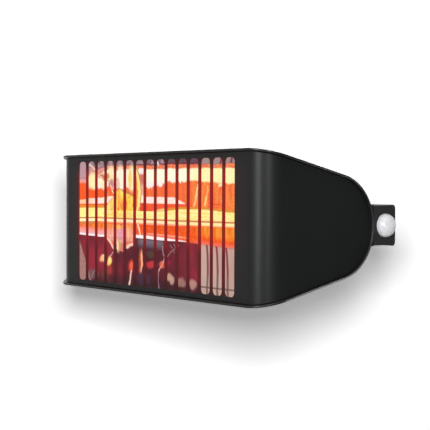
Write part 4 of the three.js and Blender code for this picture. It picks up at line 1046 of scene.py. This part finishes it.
def make_backdrop():
    """A white sheet behind the heater, square to the view, with the heater's shadow on it.

    It is clear from behind, and for the camera it fades out away from its middle.
    """
    centre = FORWARD * BACKDROP_BEHIND
    corners = [centre + RIGHT * a * BACKDROP_HALF + UP * b * BACKDROP_HALF
               for a, b in ((-1, -1), (1, -1), (1, 1), (-1, 1))]
    mesh = bpy.data.meshes.new("backdrop")
    mesh.from_pydata(corners, [], [(0, 1, 2, 3)])
    sheet = show("backdrop", mesh)
    g = Graph("backdrop", Roughness=1.0, Specular_IOR_Level=0.0)
    rays = g.node("ShaderNodeLightPath").outputs
    seen = g.most(g.most(rays["Is Camera Ray"], rays["Is Glossy Ray"]), rays["Is Transmission Ray"])
    paper = g.mix(g.noise(g.coords(), 300.0, 3.0), (0.90, 0.90, 0.90), (0.92, 0.92, 0.92))
    g.colour(g.over(paper, (BACKDROP_WHITE,) * 3, seen))
    reach = g.node("ShaderNodeVectorMath", operation="DISTANCE")
    g.put(reach.inputs[0], g.coords())
    reach.inputs[1].default_value = centre
    faded = g.mul(g.span(reach.outputs["Value"], FADE_FROM, FADE_TO), rays["Is Camera Ray"])
    back = g.node("ShaderNodeNewGeometry").outputs["Backfacing"]
    pick = g.node("ShaderNodeMixShader")
    g.put(pick.inputs[0], g.most(back, faded))
    g.put(pick.inputs[1], g.shader.outputs[0])
    g.put(pick.inputs[2], g.node("ShaderNodeBsdfTransparent").outputs[0])
    g.put(g.tree.nodes["Material Output"].inputs["Surface"], pick.outputs[0])
    mesh.materials.append(g.mat)


make_backdrop()

DARK_SIDE = (0.784, 0.62, 0.0)        # what the flat side panel mirrors to the camera
GLOSS_LEVELS = (0.55, 0.06)           # brightness in reflections, away from that side and on it
ROOM_LEVELS = (0.15, 0.36)            # brightness of the room for light, all round and overhead
SEEN_LEVEL = 1.0


def make_world():
    """White where it is seen; a softer room for the light, with one dark side for gloss."""
    world = bpy.data.worlds.new("studio")
    bpy.context.scene.world = world
    world.use_nodes = True
    tree = world.node_tree

    def node(kind, *values, **settings):
        made = tree.nodes.new(kind)
        for key, value in settings.items():
            setattr(made, key, value)
        for socket, value in zip(made.inputs, values):
            if isinstance(value, bpy.types.NodeSocket):
                tree.links.new(value, socket)
            elif value is not None:
                socket.default_value = value
        return made.outputs

    way = node("ShaderNodeTexCoord")["Generated"]
    side = node("ShaderNodeVectorMath", way, DARK_SIDE, operation="DOT_PRODUCT")["Value"]
    height = node("ShaderNodeSeparateXYZ", way)["Z"]
    darker = node("ShaderNodeMapRange", side, 0.25, 0.80, 0.0, 1.0)[0]
    overhead = node("ShaderNodeMapRange", height, 0.15, 0.8, 0.0, 1.0)[0]
    gloss = node("ShaderNodeMapRange", darker, 0.0, 1.0, *GLOSS_LEVELS)[0]
    gloss = node("ShaderNodeMath", gloss, overhead, operation="MAXIMUM")[0]
    room = node("ShaderNodeMapRange", overhead, 0.0, 1.0, *ROOM_LEVELS)[0]
    rays = node("ShaderNodeLightPath")
    seen = node("ShaderNodeMath", rays["Is Camera Ray"], rays["Is Transmission Ray"],
                operation="MAXIMUM")[0]
    level = node("ShaderNodeMix", rays["Is Glossy Ray"], None, room, gloss)[0]
    level = node("ShaderNodeMix", seen, None, level, SEEN_LEVEL)[0]
    back = tree.nodes["Background"]
    back.inputs["Color"].default_value = (1, 1, 1, 1)
    tree.links.new(level, back.inputs["Strength"])


make_world()
bpy.context.scene.view_settings.view_transform = "Standard"
